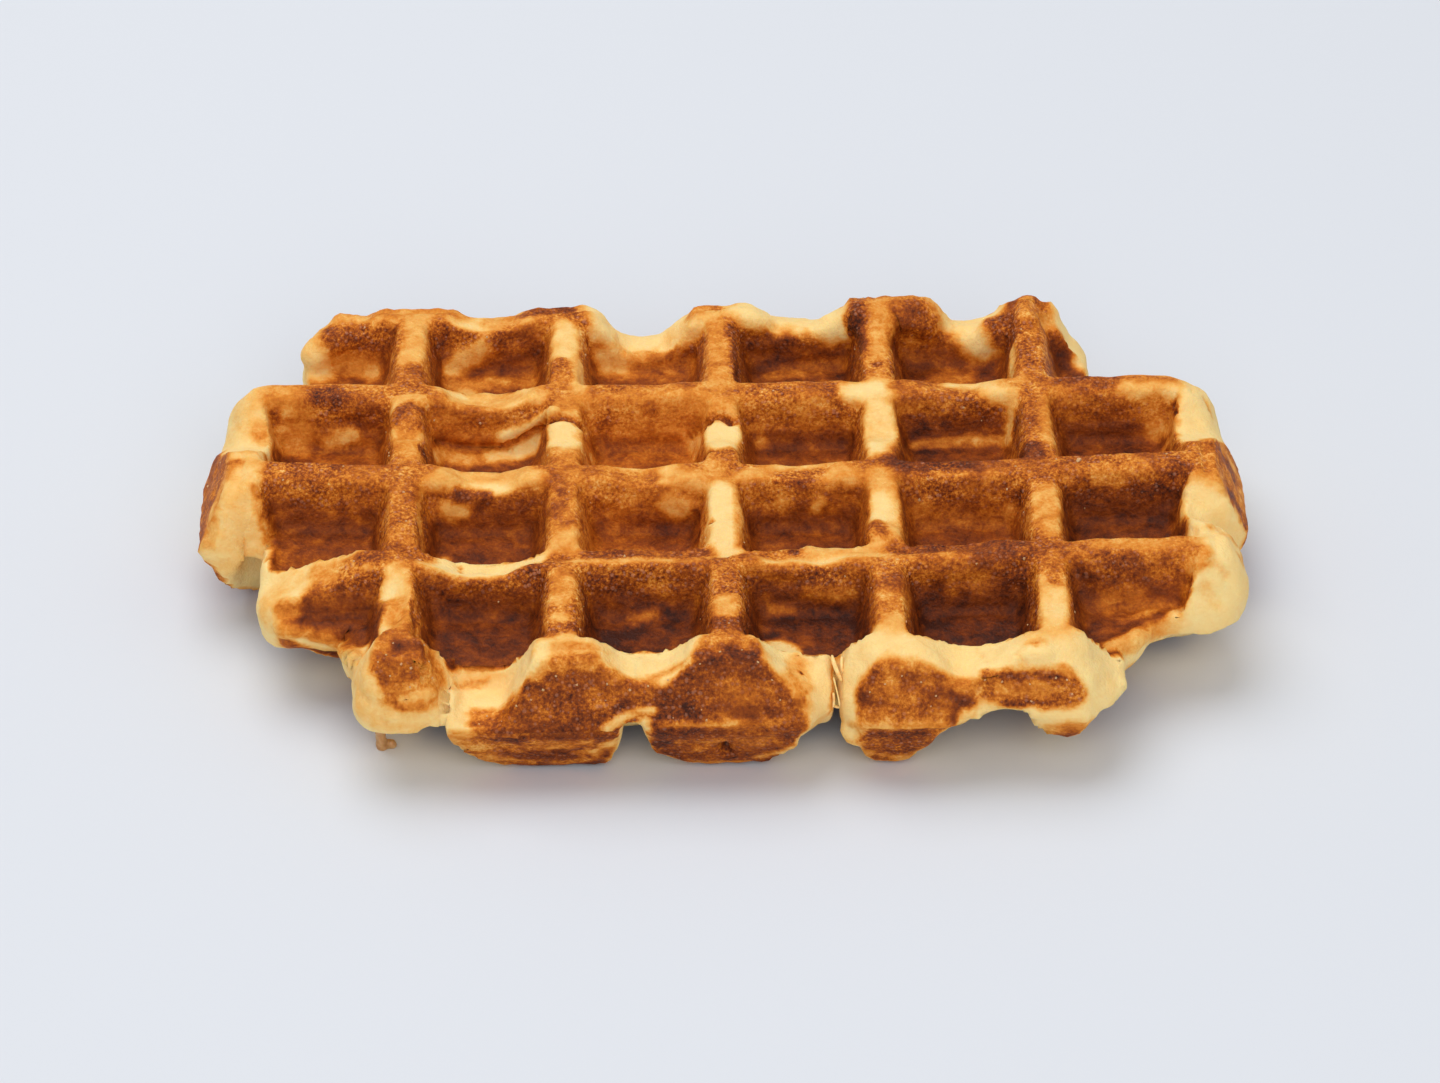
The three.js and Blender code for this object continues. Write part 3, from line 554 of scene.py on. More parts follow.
def baked(points):
    """How deep each point lies in the waffle, and how hard the dough pressed the iron there."""
    x, y, z = points.T
    depth = inside_dough(x, y)
    whole = cleave(depth, x, y, [cleft for cleft in CLEFTS if cleft[-1] == FULL_HEIGHT])
    inward = np.clip(whole / EDGE_ROUND, -1, 1)
    cleft = np.clip(cleave(depth, x, y, CLEFTS) / EDGE_ROUND, -1, 1)
    over = z - MID_Z
    below = MID_Z - z + dips(x, y, LIFTS)
    low_inward = inward + (cleft - inward) * smooth_step(*CLEFT_CEILING, below)
    top_level = dough_level(x, y, TOP_CROSS, TOP_ALONG, DENTS)
    low_level = dough_level(x, y, BOTTOM_CROSS, BOTTOM_ALONG, HOLLOWS)
    top_dough = under_dough(over, top_level, inward)
    low_dough = under_dough(below, low_level, low_inward)
    iron = iron_height(x, y)
    top = smooth_min(top_dough, iron - over, BLEND)
    low = smooth_min(low_dough, iron - below, BLEND)
    pressed = np.where(top < low, top_dough - (iron - over), low_dough - (iron - below))
    return np.minimum(top, low), pressed


def curled(points):
    """The points with the waffle's ends curled up."""
    lift = np.zeros(len(points))
    for start, end, height, loss in CURLS:
        bent = np.clip((points[:, 0] - start) / (end - start), 0, None) ** CURL_BEND
        lift += height * bent * (1 - loss * smooth_step(*CURL_FADE, points[:, 1]))
    return points + np.outer(lift, (0, 0, 1))


def settle(points):
    """Moves points in from near the surface on to it, along its slope."""
    for _ in range(SETTLE_ROUNDS):
        depth = baked(points)[0]
        slope = np.stack(
            [(baked(points + PROBE * axis)[0] - depth) / PROBE for axis in np.eye(3)], axis=1
        )
        steep = np.maximum((slope * slope).sum(1), LEAST_STEEPNESS)
        move = -slope * (depth / steep)[:, None]
        length = np.maximum(np.linalg.norm(move, axis=1), TINY)
        points = points + move * np.minimum(1, LONGEST_MOVE / length)[:, None]
    return points


# ---------------------------------------------------------------- unevenness

def noise(points, size, seed):
    """Smooth noise from -1 to 1, with hills of the given size in millimetres."""
    values = np.random.default_rng(seed).uniform(-1, 1, (NOISE_CELLS,) * 3)
    place = points / size + seed * SEED_SHIFT
    cell = np.floor(place).astype(int)
    part = place - cell
    part = part * part * (3 - 2 * part)
    total = np.zeros(len(points))
    for corner in np.ndindex(2, 2, 2):
        weight = np.where(corner, part, 1 - part).prod(1)
        total += weight * values[tuple(((cell + corner) % NOISE_CELLS).T)]
    return total


def layered(points, layers):
    return sum(amount * noise(points, np.array(size), seed) for amount, size, seed in layers)


# ---------------------------------------------------------------- small helpers

def select_only(piece):
    bpy.ops.object.select_all(action="DESELECT")
    piece.select_set(True)
    bpy.context.view_layer.objects.active = piece


def apply_modifier(piece, kind, name, **settings):
    select_only(piece)
    modifier = piece.modifiers.new(name, kind)
    for key, value in settings.items():
        setattr(modifier, key, value)
    bpy.ops.object.modifier_apply(modifier=modifier.name)


def roughen(piece, name, size_mm, strength):
    """Moves the surface in and out by clouds of the given size."""
    texture = bpy.data.textures.new(name, "CLOUDS")
    texture.noise_scale = size_mm * MM
    texture.noise_depth = CLOUD_DEPTH
    apply_modifier(piece, "DISPLACE", name, texture=texture, strength=strength,
                   mid_level=CLOUD_MEAN, texture_coords="LOCAL")


def read(piece, kind):
    flat = np.empty(len(piece.data.vertices) * 3)
    piece.data.vertices.foreach_get(kind, flat)
    return flat.reshape(-1, 3)


def read_points(piece):
    return read(piece, "co") / MM


def write_points(piece, points):
    piece.data.vertices.foreach_set("co", (points * MM).ravel())
    piece.data.update()


def keep_above_table(piece):
    points = read_points(piece)
    points[:, 2] = np.maximum(points[:, 2], 0)
    write_points(piece, points)


def store(piece, name, values):
    attribute = piece.data.attributes.new(name, "FLOAT", "POINT")
    attribute.data.foreach_set("value", values.astype(np.float32))


def join(context, pieces, name):
    bpy.ops.object.select_all(action="DESELECT")
    for piece in pieces:
        piece.select_set(True)
    context.view_layer.objects.active = pieces[0]
    bpy.ops.object.join()
    joined = context.view_layer.objects.active
    joined.name = name
    joined.data.name = name
    bpy.ops.object.transform_apply(location=True, rotation=True, scale=True)
    return joined


def finish_piece(piece, material, smooth=True):
    piece.data.materials.clear()
    piece.data.materials.append(material)
    select_only(piece)
    if smooth:
        bpy.ops.object.shade_smooth()
    else:
        bpy.ops.object.shade_flat()
    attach(piece, "root")


def linear(colour):
    """A colour from a property, with a full alpha."""
    return (*colour, 1.0)


class Nodes:
    """Adds and links the nodes of one material."""

    def __init__(self, name):
        self.material = bpy.data.materials.new(name)
        self.material.use_nodes = True
        self.tree = self.material.node_tree
        self.shader = self.tree.nodes["Principled BSDF"]

    def add(self, kind, inputs=None, **settings):
        node = self.tree.nodes.new(kind)
        for key, value in settings.items():
            setattr(node, key, value)
        for key, value in (inputs or {}).items():
            if isinstance(value, bpy.types.NodeSocket):
                self.tree.links.new(value, node.inputs[key])
            else:
                node.inputs[key].default_value = value
        return node

    def place(self):
        return self.add("ShaderNodeTexCoord").outputs["Object"]

    def attribute(self, name):
        return self.add("ShaderNodeAttribute", attribute_name=name).outputs["Fac"]

    def math(self, operation, a, b, clamp=False):
        node = self.add("ShaderNodeMath", {0: a, 1: b}, operation=operation, use_clamp=clamp)
        return node.outputs[0]

    def total(self, layers):
        """The sum of the layers, each times its share."""
        total = 0.0
        for layer, share in layers:
            total = self.math("ADD", total, self.math("MULTIPLY", layer, share))
        return total

    def noise(self, place, size_mm, detail, roughness, distortion=0.0):
        inputs = {
            "Vector": place,
            "Scale": 1 / (size_mm * MM),
            "Detail": detail,
            "Roughness": roughness,
            "Distortion": distortion,
        }
        return self.add("ShaderNodeTexNoise", inputs).outputs[0]

    def centred(self, value):
        """Noise about nought."""
        return self.math("SUBTRACT", value, CLOUD_MEAN)

    def ramp(self, value, stops):
        node = self.add("ShaderNodeValToRGB", {"Fac": value})
        elements = node.color_ramp.elements
        while len(elements) < len(stops):
            elements.new(0.5)  # it moves to its place below
        for element, (position, colour) in zip(elements, stops):
            element.position = position
            element.color = linear(colour)
        return node.outputs[0]

    def mix(self, factor, a, b):
        """A mix of two colours, which are the node's sockets 6 and 7."""
        return self.add("ShaderNodeMix", {0: factor, 6: a, 7: b}, data_type="RGBA").outputs[2]

    def bump(self, height, strength, distance_mm):
        inputs = {"Height": height, "Strength": strength, "Distance": distance_mm * MM}
        self.link(self.add("ShaderNodeBump", inputs).outputs[0], "Normal")

    def link(self, output, socket):
        self.tree.links.new(output, self.shader.inputs[socket])

    def set(self, **sockets):
        for name, value in sockets.items():
            self.shader.inputs[name.replace("_", " ")].default_value = value


# ---------------------------------------------------------------- what a user would change

def colour_property(name, description, default):
    return bpy.props.FloatVectorProperty(
        name=name, description=description, subtype="COLOR", size=3, min=0, max=1, default=default)


def length_property(name, description, default, least=0):
    return bpy.props.FloatProperty(
        name=name, description=description, default=default * MM, min=least * MM, unit="LENGTH")


def power_property(name, description, default):
    return bpy.props.FloatProperty(
        name=name, description=description, default=default, min=0, unit="POWER")


def angle_property(name, description, default):
    return bpy.props.FloatProperty(
        name=name, description=description, default=math.radians(default), unit="ROTATION")


class WaffleCrust(bpy.types.PropertyGroup):
    grain: length_property("Grain", "Size of the squares that the surface is made of", 0.78, 0.5)
    swell: length_property("Swell", "Height of the slow unevenness of the whole surface", 0.7)
    crumb: length_property("Crumb", "Height of the fine unevenness of the crust", 0.3)
    dough: colour_property(
        "Dough", "Colour where the dough never touched the iron", (0.99, 0.73, 0.31))
    straw: colour_property(
        "Straw", "Colour where the dough dried near the iron", (0.91, 0.48, 0.12))
    golden: colour_property(
        "Golden", "Colour at the edge of the browned faces", (0.76, 0.26, 0.028))
    orange: colour_property("Orange", "Colour of lightly browned ribs", (0.53, 0.135, 0.008))
    brown: colour_property("Brown", "Colour of the browned faces", (0.30, 0.060, 0.004))
    dark: colour_property("Dark", "Colour of the pocket floors", (0.155, 0.027, 0.003))
    burnt: colour_property("Burnt", "Colour of burnt sugar", (0.055, 0.011, 0.004))
    # the grains' colour, lighter than the crust, also serves as painted glints on the glazed sugar
    sugar: colour_property(
        "Sugar", "Colour of the grains of caramelised sugar", (0.66, 0.29, 0.17))


class WaffleSweets(bpy.types.PropertyGroup):
    caramel: colour_property("Caramel", "Colour of thin caramel", (0.66, 0.38, 0.17))
    deep_caramel: colour_property("Deep caramel", "Colour of thick caramel", (0.50, 0.24, 0.08))
    sugar: colour_property("Sugar", "Colour of the clearest grains of sugar", (0.74, 0.36, 0.17))


class WaffleStage(bpy.types.PropertyGroup):
    floor: colour_property("Floor", "Colour of the floor", (0.72, 0.74, 0.78))
    key_power: power_property(
        "Key light", "Power of the broad light over the back of the table", 8.5)
    fill_power: power_property("Fill light", "Power of the light from the camera's side", 6.8)
    sky: bpy.props.FloatProperty(
        name="Sky", description="Strength of the even light from all round", default=0.48, min=0)
    lens: bpy.props.FloatProperty(
        name="Lens", description="Focal length in millimetres on a 36 mm wide sensor",
        default=150, min=1)
    distance: length_property(
        "Distance", "From the camera to the point it looks at", 1001, 100)
    elevation: angle_property("Elevation", "Angle at which the camera looks down", 37)
    azimuth: angle_property(
        "Azimuth", "Turn of the camera to the right of the waffle's Y axis", 0.39)
    roll: angle_property("Roll", "Turn of the camera about its line of sight", -0.55)
    target: bpy.props.FloatVectorProperty(
        name="Target", description="The point that the camera looks at",
        subtype="TRANSLATION", unit="LENGTH", default=(-0.8 * MM, -20.2 * MM, 24 * MM))


def camera_matrix(settings):
    turn = Euler((math.pi / 2 - settings.elevation, 0, -settings.azimuth)).to_matrix()
    turn = turn @ Matrix.Rotation(settings.roll, 3, "Z")
    back = turn @ Vector((0, 0, settings.distance))
    return Matrix.Translation(Vector(settings.target) + back) @ turn.to_4x4()


# ---------------------------------------------------------------- the waffle

SWELL_SIZE = 14
CRUMB_SIZE = 2.2
MERGE_DISTANCE = 0.0001
# faces of the underside: the most their normals may rise, the most they may lie above the
# table, and the share of them that is kept
UNDER_SLOPE = -0.1
UNDER_HEIGHT = 11
UNDER_SHARE = 0.3

# noise in the crust: size in mm, detail, roughness and distortion
BLOTCHES = (6.5, 3.0, 0.55, 0.6)
MOTTLE = (2.6, 3.0, 0.6, 0.5)
STREAKS = (2.0, 3.0, 0.6, 0.8)
SPECKS = (0.55, 2.0, 0.65)
STREAK_STRETCH = (0.4, 0.4, 1)
# shares of blotches, mottle and streaks in the colour, and of specks where there's no sugar
COLOUR_SHARES = (0.5, 0.62, 0.42)
SPECK_SHARE = 0.32
# dough shows less of that noise than crust: levels of baking from and to, shares from and to
NOISE_BY_LEVEL = {"From Min": 0.02, "From Max": 0.4, "To Min": 0.1, "To Max": 1.0}
# levels of baking of the seven colours, from dough to burnt
COLOUR_LEVELS = (0.0, 0.16, 0.34, 0.50, 0.66, 0.84, 1.0)
# crystals of sugar in the crust, whose lighter dots are partly the sugar's own colour and partly
# painted glints on the glazed sugar
CRYSTAL_SIZE = 0.85
CRYSTAL_REACH = 0.6
CRYSTAL_SHARPNESS = 5.0
CRYSTAL_TINT_AND_GLINT = 0.45
# shares of specks, mottle and crystals in the relief
RELIEF_SHARES = (0.7, 0.7, 0.5)
RELIEF_STRENGTH = 0.7
RELIEF_HEIGHT = 0.4
DOUGH_ROUGHNESS = 0.75
ROUGHNESS_LOST = 0.25


def crust_material(settings):
    nodes = Nodes("crust")
    place = nodes.place()
    bake = nodes.attribute("bake")
    sugar = nodes.attribute("sugar")
    stretched = nodes.add("ShaderNodeMapping", {"Vector": place, "Scale": STREAK_STRETCH})

    mottle = nodes.noise(place, *MOTTLE)
    specks = nodes.noise(place, *SPECKS)
    layers = (nodes.noise(place, *BLOTCHES), mottle, nodes.noise(stretched.outputs[0], *STREAKS),
              specks)
    shares = (*COLOUR_SHARES, nodes.math("ADD", sugar, SPECK_SHARE))
    uneven = nodes.total(zip([nodes.centred(layer) for layer in layers], shares))
    varied = nodes.add("ShaderNodeMapRange", {"Value": bake, **NOISE_BY_LEVEL}).outputs[0]
    level = nodes.math("ADD", bake, nodes.math("MULTIPLY", uneven, varied), clamp=True)
    colour = nodes.ramp(level, list(zip(COLOUR_LEVELS, (
        settings.dough, settings.straw, settings.golden, settings.orange, settings.brown,
        settings.dark, settings.burnt))))
    cells = nodes.add("ShaderNodeTexVoronoi", {
        "Vector": place, "Scale": 1 / (CRYSTAL_SIZE * MM)})
    reach = nodes.math("MULTIPLY", cells.outputs["Color"], CRYSTAL_REACH)
    dots = nodes.math("SUBTRACT", reach, cells.outputs["Distance"])
    dots = nodes.math("MULTIPLY", dots, CRYSTAL_SHARPNESS, clamp=True)
    crystals = nodes.math("MULTIPLY", dots, sugar)
    # lighter dots where the crystals stand: the sugar's own colour, and painted glints of light on
    # it
    tint_and_glint = nodes.math("MULTIPLY", crystals, CRYSTAL_TINT_AND_GLINT)
    nodes.link(nodes.mix(tint_and_glint, colour, linear(settings.sugar)), "Base Color")

    smoothed = nodes.math("MULTIPLY", level, ROUGHNESS_LOST)
    nodes.link(nodes.math("SUBTRACT", DOUGH_ROUGHNESS, smoothed), "Roughness")
    nodes.bump(nodes.total(zip((specks, mottle, crystals), RELIEF_SHARES)), RELIEF_STRENGTH,
               RELIEF_HEIGHT)
    nodes.set(Subsurface_Weight=0.2, Subsurface_Scale=1.0 * MM, Subsurface_Radius=(2.4, 1.2, 0.5),
              IOR=1.4, Specular_IOR_Level=0.22)
    return nodes.material


def browned(pressed):
    """1 where the dough lay against the iron, 0 where it never did."""
    return smooth_step(*BROWNED, pressed)


def in_pocket(points):
    """How far down a pocket each point is, 0 at the rib tops to 1 at the floor."""
    x, y, z = points.T
    inside = (np.abs(x) < HALF_X) & (np.abs(y) < HALF_Y)
    down = np.clip((HALF - np.abs(z - MID_Z)) / POCKET_DEPTH, 0, 1)
    return np.where(inside, down, DEPTH_OF_WALL)


def bake_level(points, pressed):
    """How brown the crust is, from 0 for dough to 1 for burnt sugar."""
    x, y, _ = points.T
    down = in_pocket(points)
    tone = np.array(POCKET_TONES)[nearest_cell(-y, *GRID_Y), nearest_cell(x, *GRID_X)]
    tone = tone * smooth_step(*POCKET_TONE_DEPTHS, down)
    # darker deeper in the pocket: browning, and painted shade towards the floor
    tone += TONE_AT_TOP + (TONE_AT_FLOOR - TONE_AT_TOP) * down
    tone += TONE_OF_WALL * (y < -HALF_Y)
    return np.interp(pressed, *zip(*BAKING)) + tone * browned(pressed)


class Marker:
    """Finds the places of the marks on the piece, and what they do to it."""

    def __init__(self, piece, stage):
        self.piece = piece
        self.camera = camera_matrix(stage)
        self.reach = stage.lens / SENSOR * FRAME_WIDTH

    def under(self, u, v):
        away = Vector((u - FRAME_WIDTH / 2, FRAME_HEIGHT / 2 - v, -self.reach))
        direction = self.camera.to_3x3() @ away.normalized()
        return self.piece.ray_cast(self.camera.translation, direction)

    def places(self, path):
        """Points of the surface along the path, in millimetres, and their mean normal."""
        found = []
        corners = [Vector(path[i:i + 2]) for i in range(0, len(path), 2)]
        for start, end in zip(corners, corners[1:] or corners):
            steps = max(1, round((end - start).length / STROKE_STEP))
            for step in range(steps + 1):
                hit, place, normal, _ = self.under(*start.lerp(end, step / steps))
                if hit:
                    found.append((*(place / MM), *normal))
        found = np.array(found).reshape(-1, 6)
        return found[:, :3], found[:, 3:].sum(0)

    def apply(self, points, normals, level):
        """The level of baking after all the marks, and how far each raises the surface."""
        raised = np.zeros(len(points))
        wobble = layered(points, MARK_WOBBLE)
        for target, height, radius, *path in MARKS:
            places, facing = self.places(path)
            if not len(places):
                continue
            low = places.min(0) - MARK_REACH * radius
            high = places.max(0) + MARK_REACH * radius
            near = np.flatnonzero(((points > low) & (points < high)).all(1))
            away = np.full(len(near), FAR)
            for place in places:
                away = np.minimum(away, np.linalg.norm(points[near] - place, axis=1))
            weight = 1 - smooth_step(*MARK_EDGE, away / radius + wobble[near])
            facing = facing / max(np.linalg.norm(facing), TINY)
            weight *= smooth_step(*MARK_TURN, normals[near] @ facing)
            level[near] += (target - level[near]) * weight
            raised[near] += height * weight
        return level, raised


class WAFFLE_OT_body(bpy.types.Operator):
    """Bakes the waffle's body over its frame solid"""
    bl_idname = "waffle.body"
    bl_label = "Bake the body"

    def execute(self, context):
        settings = context.scene.waffle_crust
        body = self.copied_solid(context)
        for cleft in CLEFTS:
            self.cut(context, body, *cleft)
        apply_modifier(body, "REMESH", "even", mode="VOXEL", voxel_size=settings.grain)

        flat = settle(read_points(body))
        pressed = baked(flat)[1]
        points = curled(flat)
        write_points(body, points)
        normals = read(body, "normal")
        marker = Marker(body, context.scene.waffle_stage)
        level, raised = marker.apply(points, normals, bake_level(flat, pressed))
        points += normals * (raised + self.unevenness(points, pressed))[:, None]
        write_points(body, points)
        store(body, "bake", np.clip(level, 0, 1))
        store(body, "sugar", self.sugar(flat, level))
        roughen(body, "swell", SWELL_SIZE, settings.swell)
        roughen(body, "crumb", CRUMB_SIZE, settings.crumb)
        keep_above_table(body)
        self.thin_underside(body)
        finish_piece(body, crust_material(settings))
        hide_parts("waffle")
        return {"FINISHED"}

    def copied_solid(self, context):
        """A copy of the frame's solid, without its tags and material, and with faces joined."""
        select_only(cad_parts["waffle"])
        bpy.ops.object.duplicate()
        body = context.view_layer.objects.active
        body.name = "waffle_body"
        body.parent = None
        body.data.materials.clear()
        for key in list(body.keys()):
            del body[key]
        bpy.ops.object.mode_set(mode="EDIT")
        bpy.ops.mesh.select_all(action="SELECT")
        bpy.ops.mesh.remove_doubles(threshold=MERGE_DISTANCE * MM)
        bpy.ops.object.mode_set(mode="OBJECT")
        return body

    def cut(self, context, body, x, inner_y, outer_y, inner_radius, outer_radius, top):
        """Starts a cleft with a narrow saw cut, which the dough then rounds off."""
        grain = context.scene.waffle_crust.grain / MM
        width = max(inner_radius + outer_radius, SAW_GRAINS * grain)
        middle = (x, (inner_y + outer_y) / 2 - SAW_OVERRUN / 2, top / 2 - SAW_OVERRUN / 2)
        sides = (width, inner_y - outer_y + SAW_OVERRUN, top + SAW_OVERRUN)
        bpy.ops.object.select_all(action="DESELECT")
        bpy.ops.mesh.primitive_cube_add(
            size=1, location=[value * MM for value in middle],
            scale=[value * MM for value in sides])
        saw = context.view_layer.objects.active
        apply_modifier(body, "BOOLEAN", "cleft", operation="DIFFERENCE", object=saw)
        select_only(saw)
        bpy.ops.object.delete()

    def unevenness(self, points, pressed):
        """Height of the folds in the pale dough and of the ripples in the crust."""
        brown = browned(pressed)
        return layered(points, DOUGH_FOLDS) * (1 - brown) + layered(points, CRUST_RIPPLES) * brown

    def sugar(self, points, level):
        """Where grains of caramelised sugar stick to the crust."""
        patches = SUGAR_MEAN + layered(points, SUGAR_PATCHES)
        patches = patches * (1 - smooth_step(*SUGAR_DEPTHS, in_pocket(points)))
        return np.clip(patches, 0, 1) * smooth_step(*SUGAR_LEVELS, level)

    def thin_underside(self, body):
        """Fewer, larger faces on the side that the waffle lies on."""
        select_only(body)
        under = [face.normal.z < UNDER_SLOPE and face.center.z < UNDER_HEIGHT * MM
                 for face in body.data.polygons]
        body.data.polygons.foreach_set("select", under)
        bpy.ops.object.mode_set(mode="EDIT")
        bpy.ops.mesh.select_mode(type="FACE")
        bpy.ops.mesh.decimate(ratio=UNDER_SHARE)
        bpy.ops.object.mode_set(mode="OBJECT")


# ---------------------------------------------------------------- caramel, skins and sugar

# the drip's rings, from the table up into the dough: x, y, z and radius in millimetres
DRIP = (
    (-57.3, -43.7, 0, 1.15), (-57.3, -43.8, 0.6, 1.15), (-57.4, -44.0, 1.4, 0.95),
    (-57.5, -44.2, 2.6, 0.85), (-57.5, -44.4, 4.2, 0.95), (-57.4, -44.6, 6, 1.0),
    (-57.2, -44.8, 9, 1.1),
)
DRIP_FOOT = ((-55.9, -43.5, 0, 0.95), (-55.9, -43.5, 0.6, 0.9), (-56.1, -43.6, 1.3, 0.5))
DRIP_BRIDGE = ((-57.2, -43.7, 0.6, 0.8), (-56.6, -43.6, 0.55, 0.75), (-55.9, -43.5, 0.5, 0.8))
DRIP_SIDES = 12
DRIP_GRAIN = 0.16
DRIP_SOFTENING = {"factor": 0.5, "iterations": 4}
LUMP_SIZE = 0.9
LUMP_HEIGHT = 0.3
CARAMEL_CLOUDS = 1.4
# thin skins of dough across the widest cleft: the same four numbers
SKINS = (
    ((17.2, -44.6, 18.9, 0.3), (17.5, -46, 18, 0.42), (18.1, -47, 16.9, 0.38),
     (18.8, -47.9, 15.7, 0.3)),
    ((17.4, -47, 16.2, 0.2), (17.8, -48.5, 15, 0.14), (18.2, -49.7, 13.7, 0.13),
     (18.4, -50.4, 12.4, 0.2)),
    ((18.9, -44.8, 18.7, 0.3), (18.7, -45.8, 17.9, 0.26), (18.9, -47, 16.8, 0.25)),
    ((17.3, -48.6, 14.2, 0.3), (17.5, -49.5, 13.2, 0.22), (17.3, -50, 11.9, 0.3)),
    ((17.0, -49.2, 12.6, 0.35), (17.6, -49.4, 11.6, 0.25), (18.6, -49, 11.2, 0.35)),
)
SKIN_SIDES = 8
SKIN_ROUNDINGS = 2
# noise in the skins: size in mm, detail, roughness; and where its two colours stand
SKIN_NOISE = (1.2, 3.0, 0.6)
SKIN_STOPS = (0.4, 0.75)
# clouds in boiled sugar: detail, roughness and distortion; where its colours stand; and the
# finer noise of its relief: how many times finer, detail and roughness
GLAZE_CLOUDS = (3.0, 0.6, 0.4)
GLAZE_STOPS = (0.35, 0.65)
GLAZE_FINENESS = 3
GLAZE_RELIEF = (2.0, 0.5)


def drawn_out(context, name, sides, rings):
    """A round rod through rings of x, y, z and radius, drawn out ring by ring."""
    bpy.ops.object.select_all(action="DESELECT")
    places = [Vector(ring[:3]) * MM for ring in rings]
    towards = (places[1] - places[0]).to_track_quat("Z", "Y").to_euler()
    bpy.ops.mesh.primitive_circle_add(
        vertices=sides, radius=rings[0][3] * MM, fill_type="NGON", location=places[0],
        rotation=towards)
    rod = context.view_layer.objects.active
    rod.name = name
    bpy.ops.object.transform_apply(location=True, rotation=True, scale=True)
    bpy.ops.object.mode_set(mode="EDIT")
    bpy.ops.mesh.select_all(action="SELECT")
    for before, after, start, end in zip(rings, rings[1:], places, places[1:]):
        bpy.ops.mesh.extrude_region_move(TRANSFORM_OT_translate={"value": end - start})
        bpy.ops.transform.resize(value=[after[3] / before[3]] * 3, center_override=end)
    bpy.ops.mesh.select_all(action="SELECT")
    bpy.ops.mesh.normals_make_consistent(inside=False)
    bpy.ops.object.mode_set(mode="OBJECT")
    return rod


def glazed_material(name, pale, deep, size_mm):
    """Clear or cloudy boiled sugar, deeper coloured in places."""
    nodes = Nodes(name)
    place = nodes.place()
    cloud = nodes.noise(place, size_mm, *GLAZE_CLOUDS)
    nodes.link(nodes.ramp(cloud, list(zip(GLAZE_STOPS, (pale, deep)))), "Base Color")
    nodes.bump(nodes.noise(place, size_mm / GLAZE_FINENESS, *GLAZE_RELIEF),
               strength=0.5, distance_mm=0.15)
    nodes.set(Roughness=0.4, Subsurface_Weight=0.35, Subsurface_Scale=0.6 * MM,
              Subsurface_Radius=(2.0, 1.0, 0.4), IOR=1.5, Specular_IOR_Level=0.3)
    return nodes.material


class WAFFLE_OT_drip(bpy.types.Operator):
    """Draws out the drip of caramel that ran down to the table"""
    bl_idname = "waffle.drip"
    bl_label = "Draw the caramel drip"

    def execute(self, context):
        settings = context.scene.waffle_sweets
        rods = [drawn_out(context, "drip", DRIP_SIDES, rings)
                for rings in (DRIP, DRIP_FOOT, DRIP_BRIDGE)]
        drip = join(context, rods, "caramel_drip")
        apply_modifier(drip, "REMESH", "melted", mode="VOXEL", voxel_size=DRIP_GRAIN * MM)
        apply_modifier(drip, "SMOOTH", "soft", **DRIP_SOFTENING)
        roughen(drip, "lumps", LUMP_SIZE, LUMP_HEIGHT * MM)
        keep_above_table(drip)
        finish_piece(drip, glazed_material(
            "caramel", settings.caramel, settings.deep_caramel, CARAMEL_CLOUDS))
        return {"FINISHED"}


class WAFFLE_OT_skins(bpy.types.Operator):
    """Draws out the thin skins of dough that still cross the widest cleft"""
    bl_idname = "waffle.skins"
    bl_label = "Draw the skins of dough"

    def execute(self, context):
        settings = context.scene.waffle_crust
        rods = [drawn_out(context, "skin", SKIN_SIDES, rings) for rings in SKINS]
        skins = join(context, rods, "dough_skins")
        apply_modifier(skins, "SUBSURF", "round", levels=SKIN_ROUNDINGS,
                       render_levels=SKIN_ROUNDINGS)
        nodes = Nodes("skin")
        dried = nodes.noise(nodes.place(), *SKIN_NOISE)
        colours = list(zip(SKIN_STOPS, (settings.dough, settings.straw)))
        nodes.link(nodes.ramp(dried, colours), "Base Color")
        nodes.bump(dried, strength=0.4, distance_mm=0.2)
        nodes.set(Roughness=0.6, Subsurface_Weight=0.2, Subsurface_Scale=0.6 * MM)
        finish_piece(skins, nodes.material)
        return {"FINISHED"}


# grains of sugar that catch the light: radius in mm and their place as the camera sees them
BRIGHT_GRAINS = (
    (0.5, 404, 492), (0.4, 406, 521), (0.5, 420, 560), (0.9, 1079, 460), (0.4, 386, 655),
    (0.35, 401, 664), (0.4, 411, 668), (0.3, 424, 645), (0.3, 429, 662), (0.35, 432, 678),
    (0.35, 390, 676), (0.3, 410, 687), (0.3, 393, 643), (0.35, 378, 662), (0.4, 543, 690),
    (0.35, 531, 700), (0.4, 516, 706), (0.35, 556, 676), (0.3, 487, 716), (0.3, 479, 724),
    (0.35, 607, 684), (0.4, 630, 690), (0.35, 648, 686), (0.3, 668, 680), (0.35, 700, 664),
    (0.4, 720, 652), (0.3, 742, 650), (0.35, 758, 662), (0.35, 772, 680), (0.3, 780, 700),
    (0.3, 870, 692), (0.3, 885, 684), (0.3, 902, 676), (0.35, 921, 682), (0.3, 936, 696),
    (0.3, 985, 680), (0.35, 1002, 682), (0.3, 1030, 684), (0.35, 1056, 678), (0.3, 1072, 694),
)
BRIGHT_SHARE = 0.7
SCATTERED_GRAINS = 90
GRAIN_SEED = 7
GRAIN_RADII = (0.14, 0.3)
GRAIN_STRETCH = (0.75, 1.2)
GRAIN_SINK = 0.35
LOWEST_GRAIN = 3
GRAIN_CLOUDS = 1.1
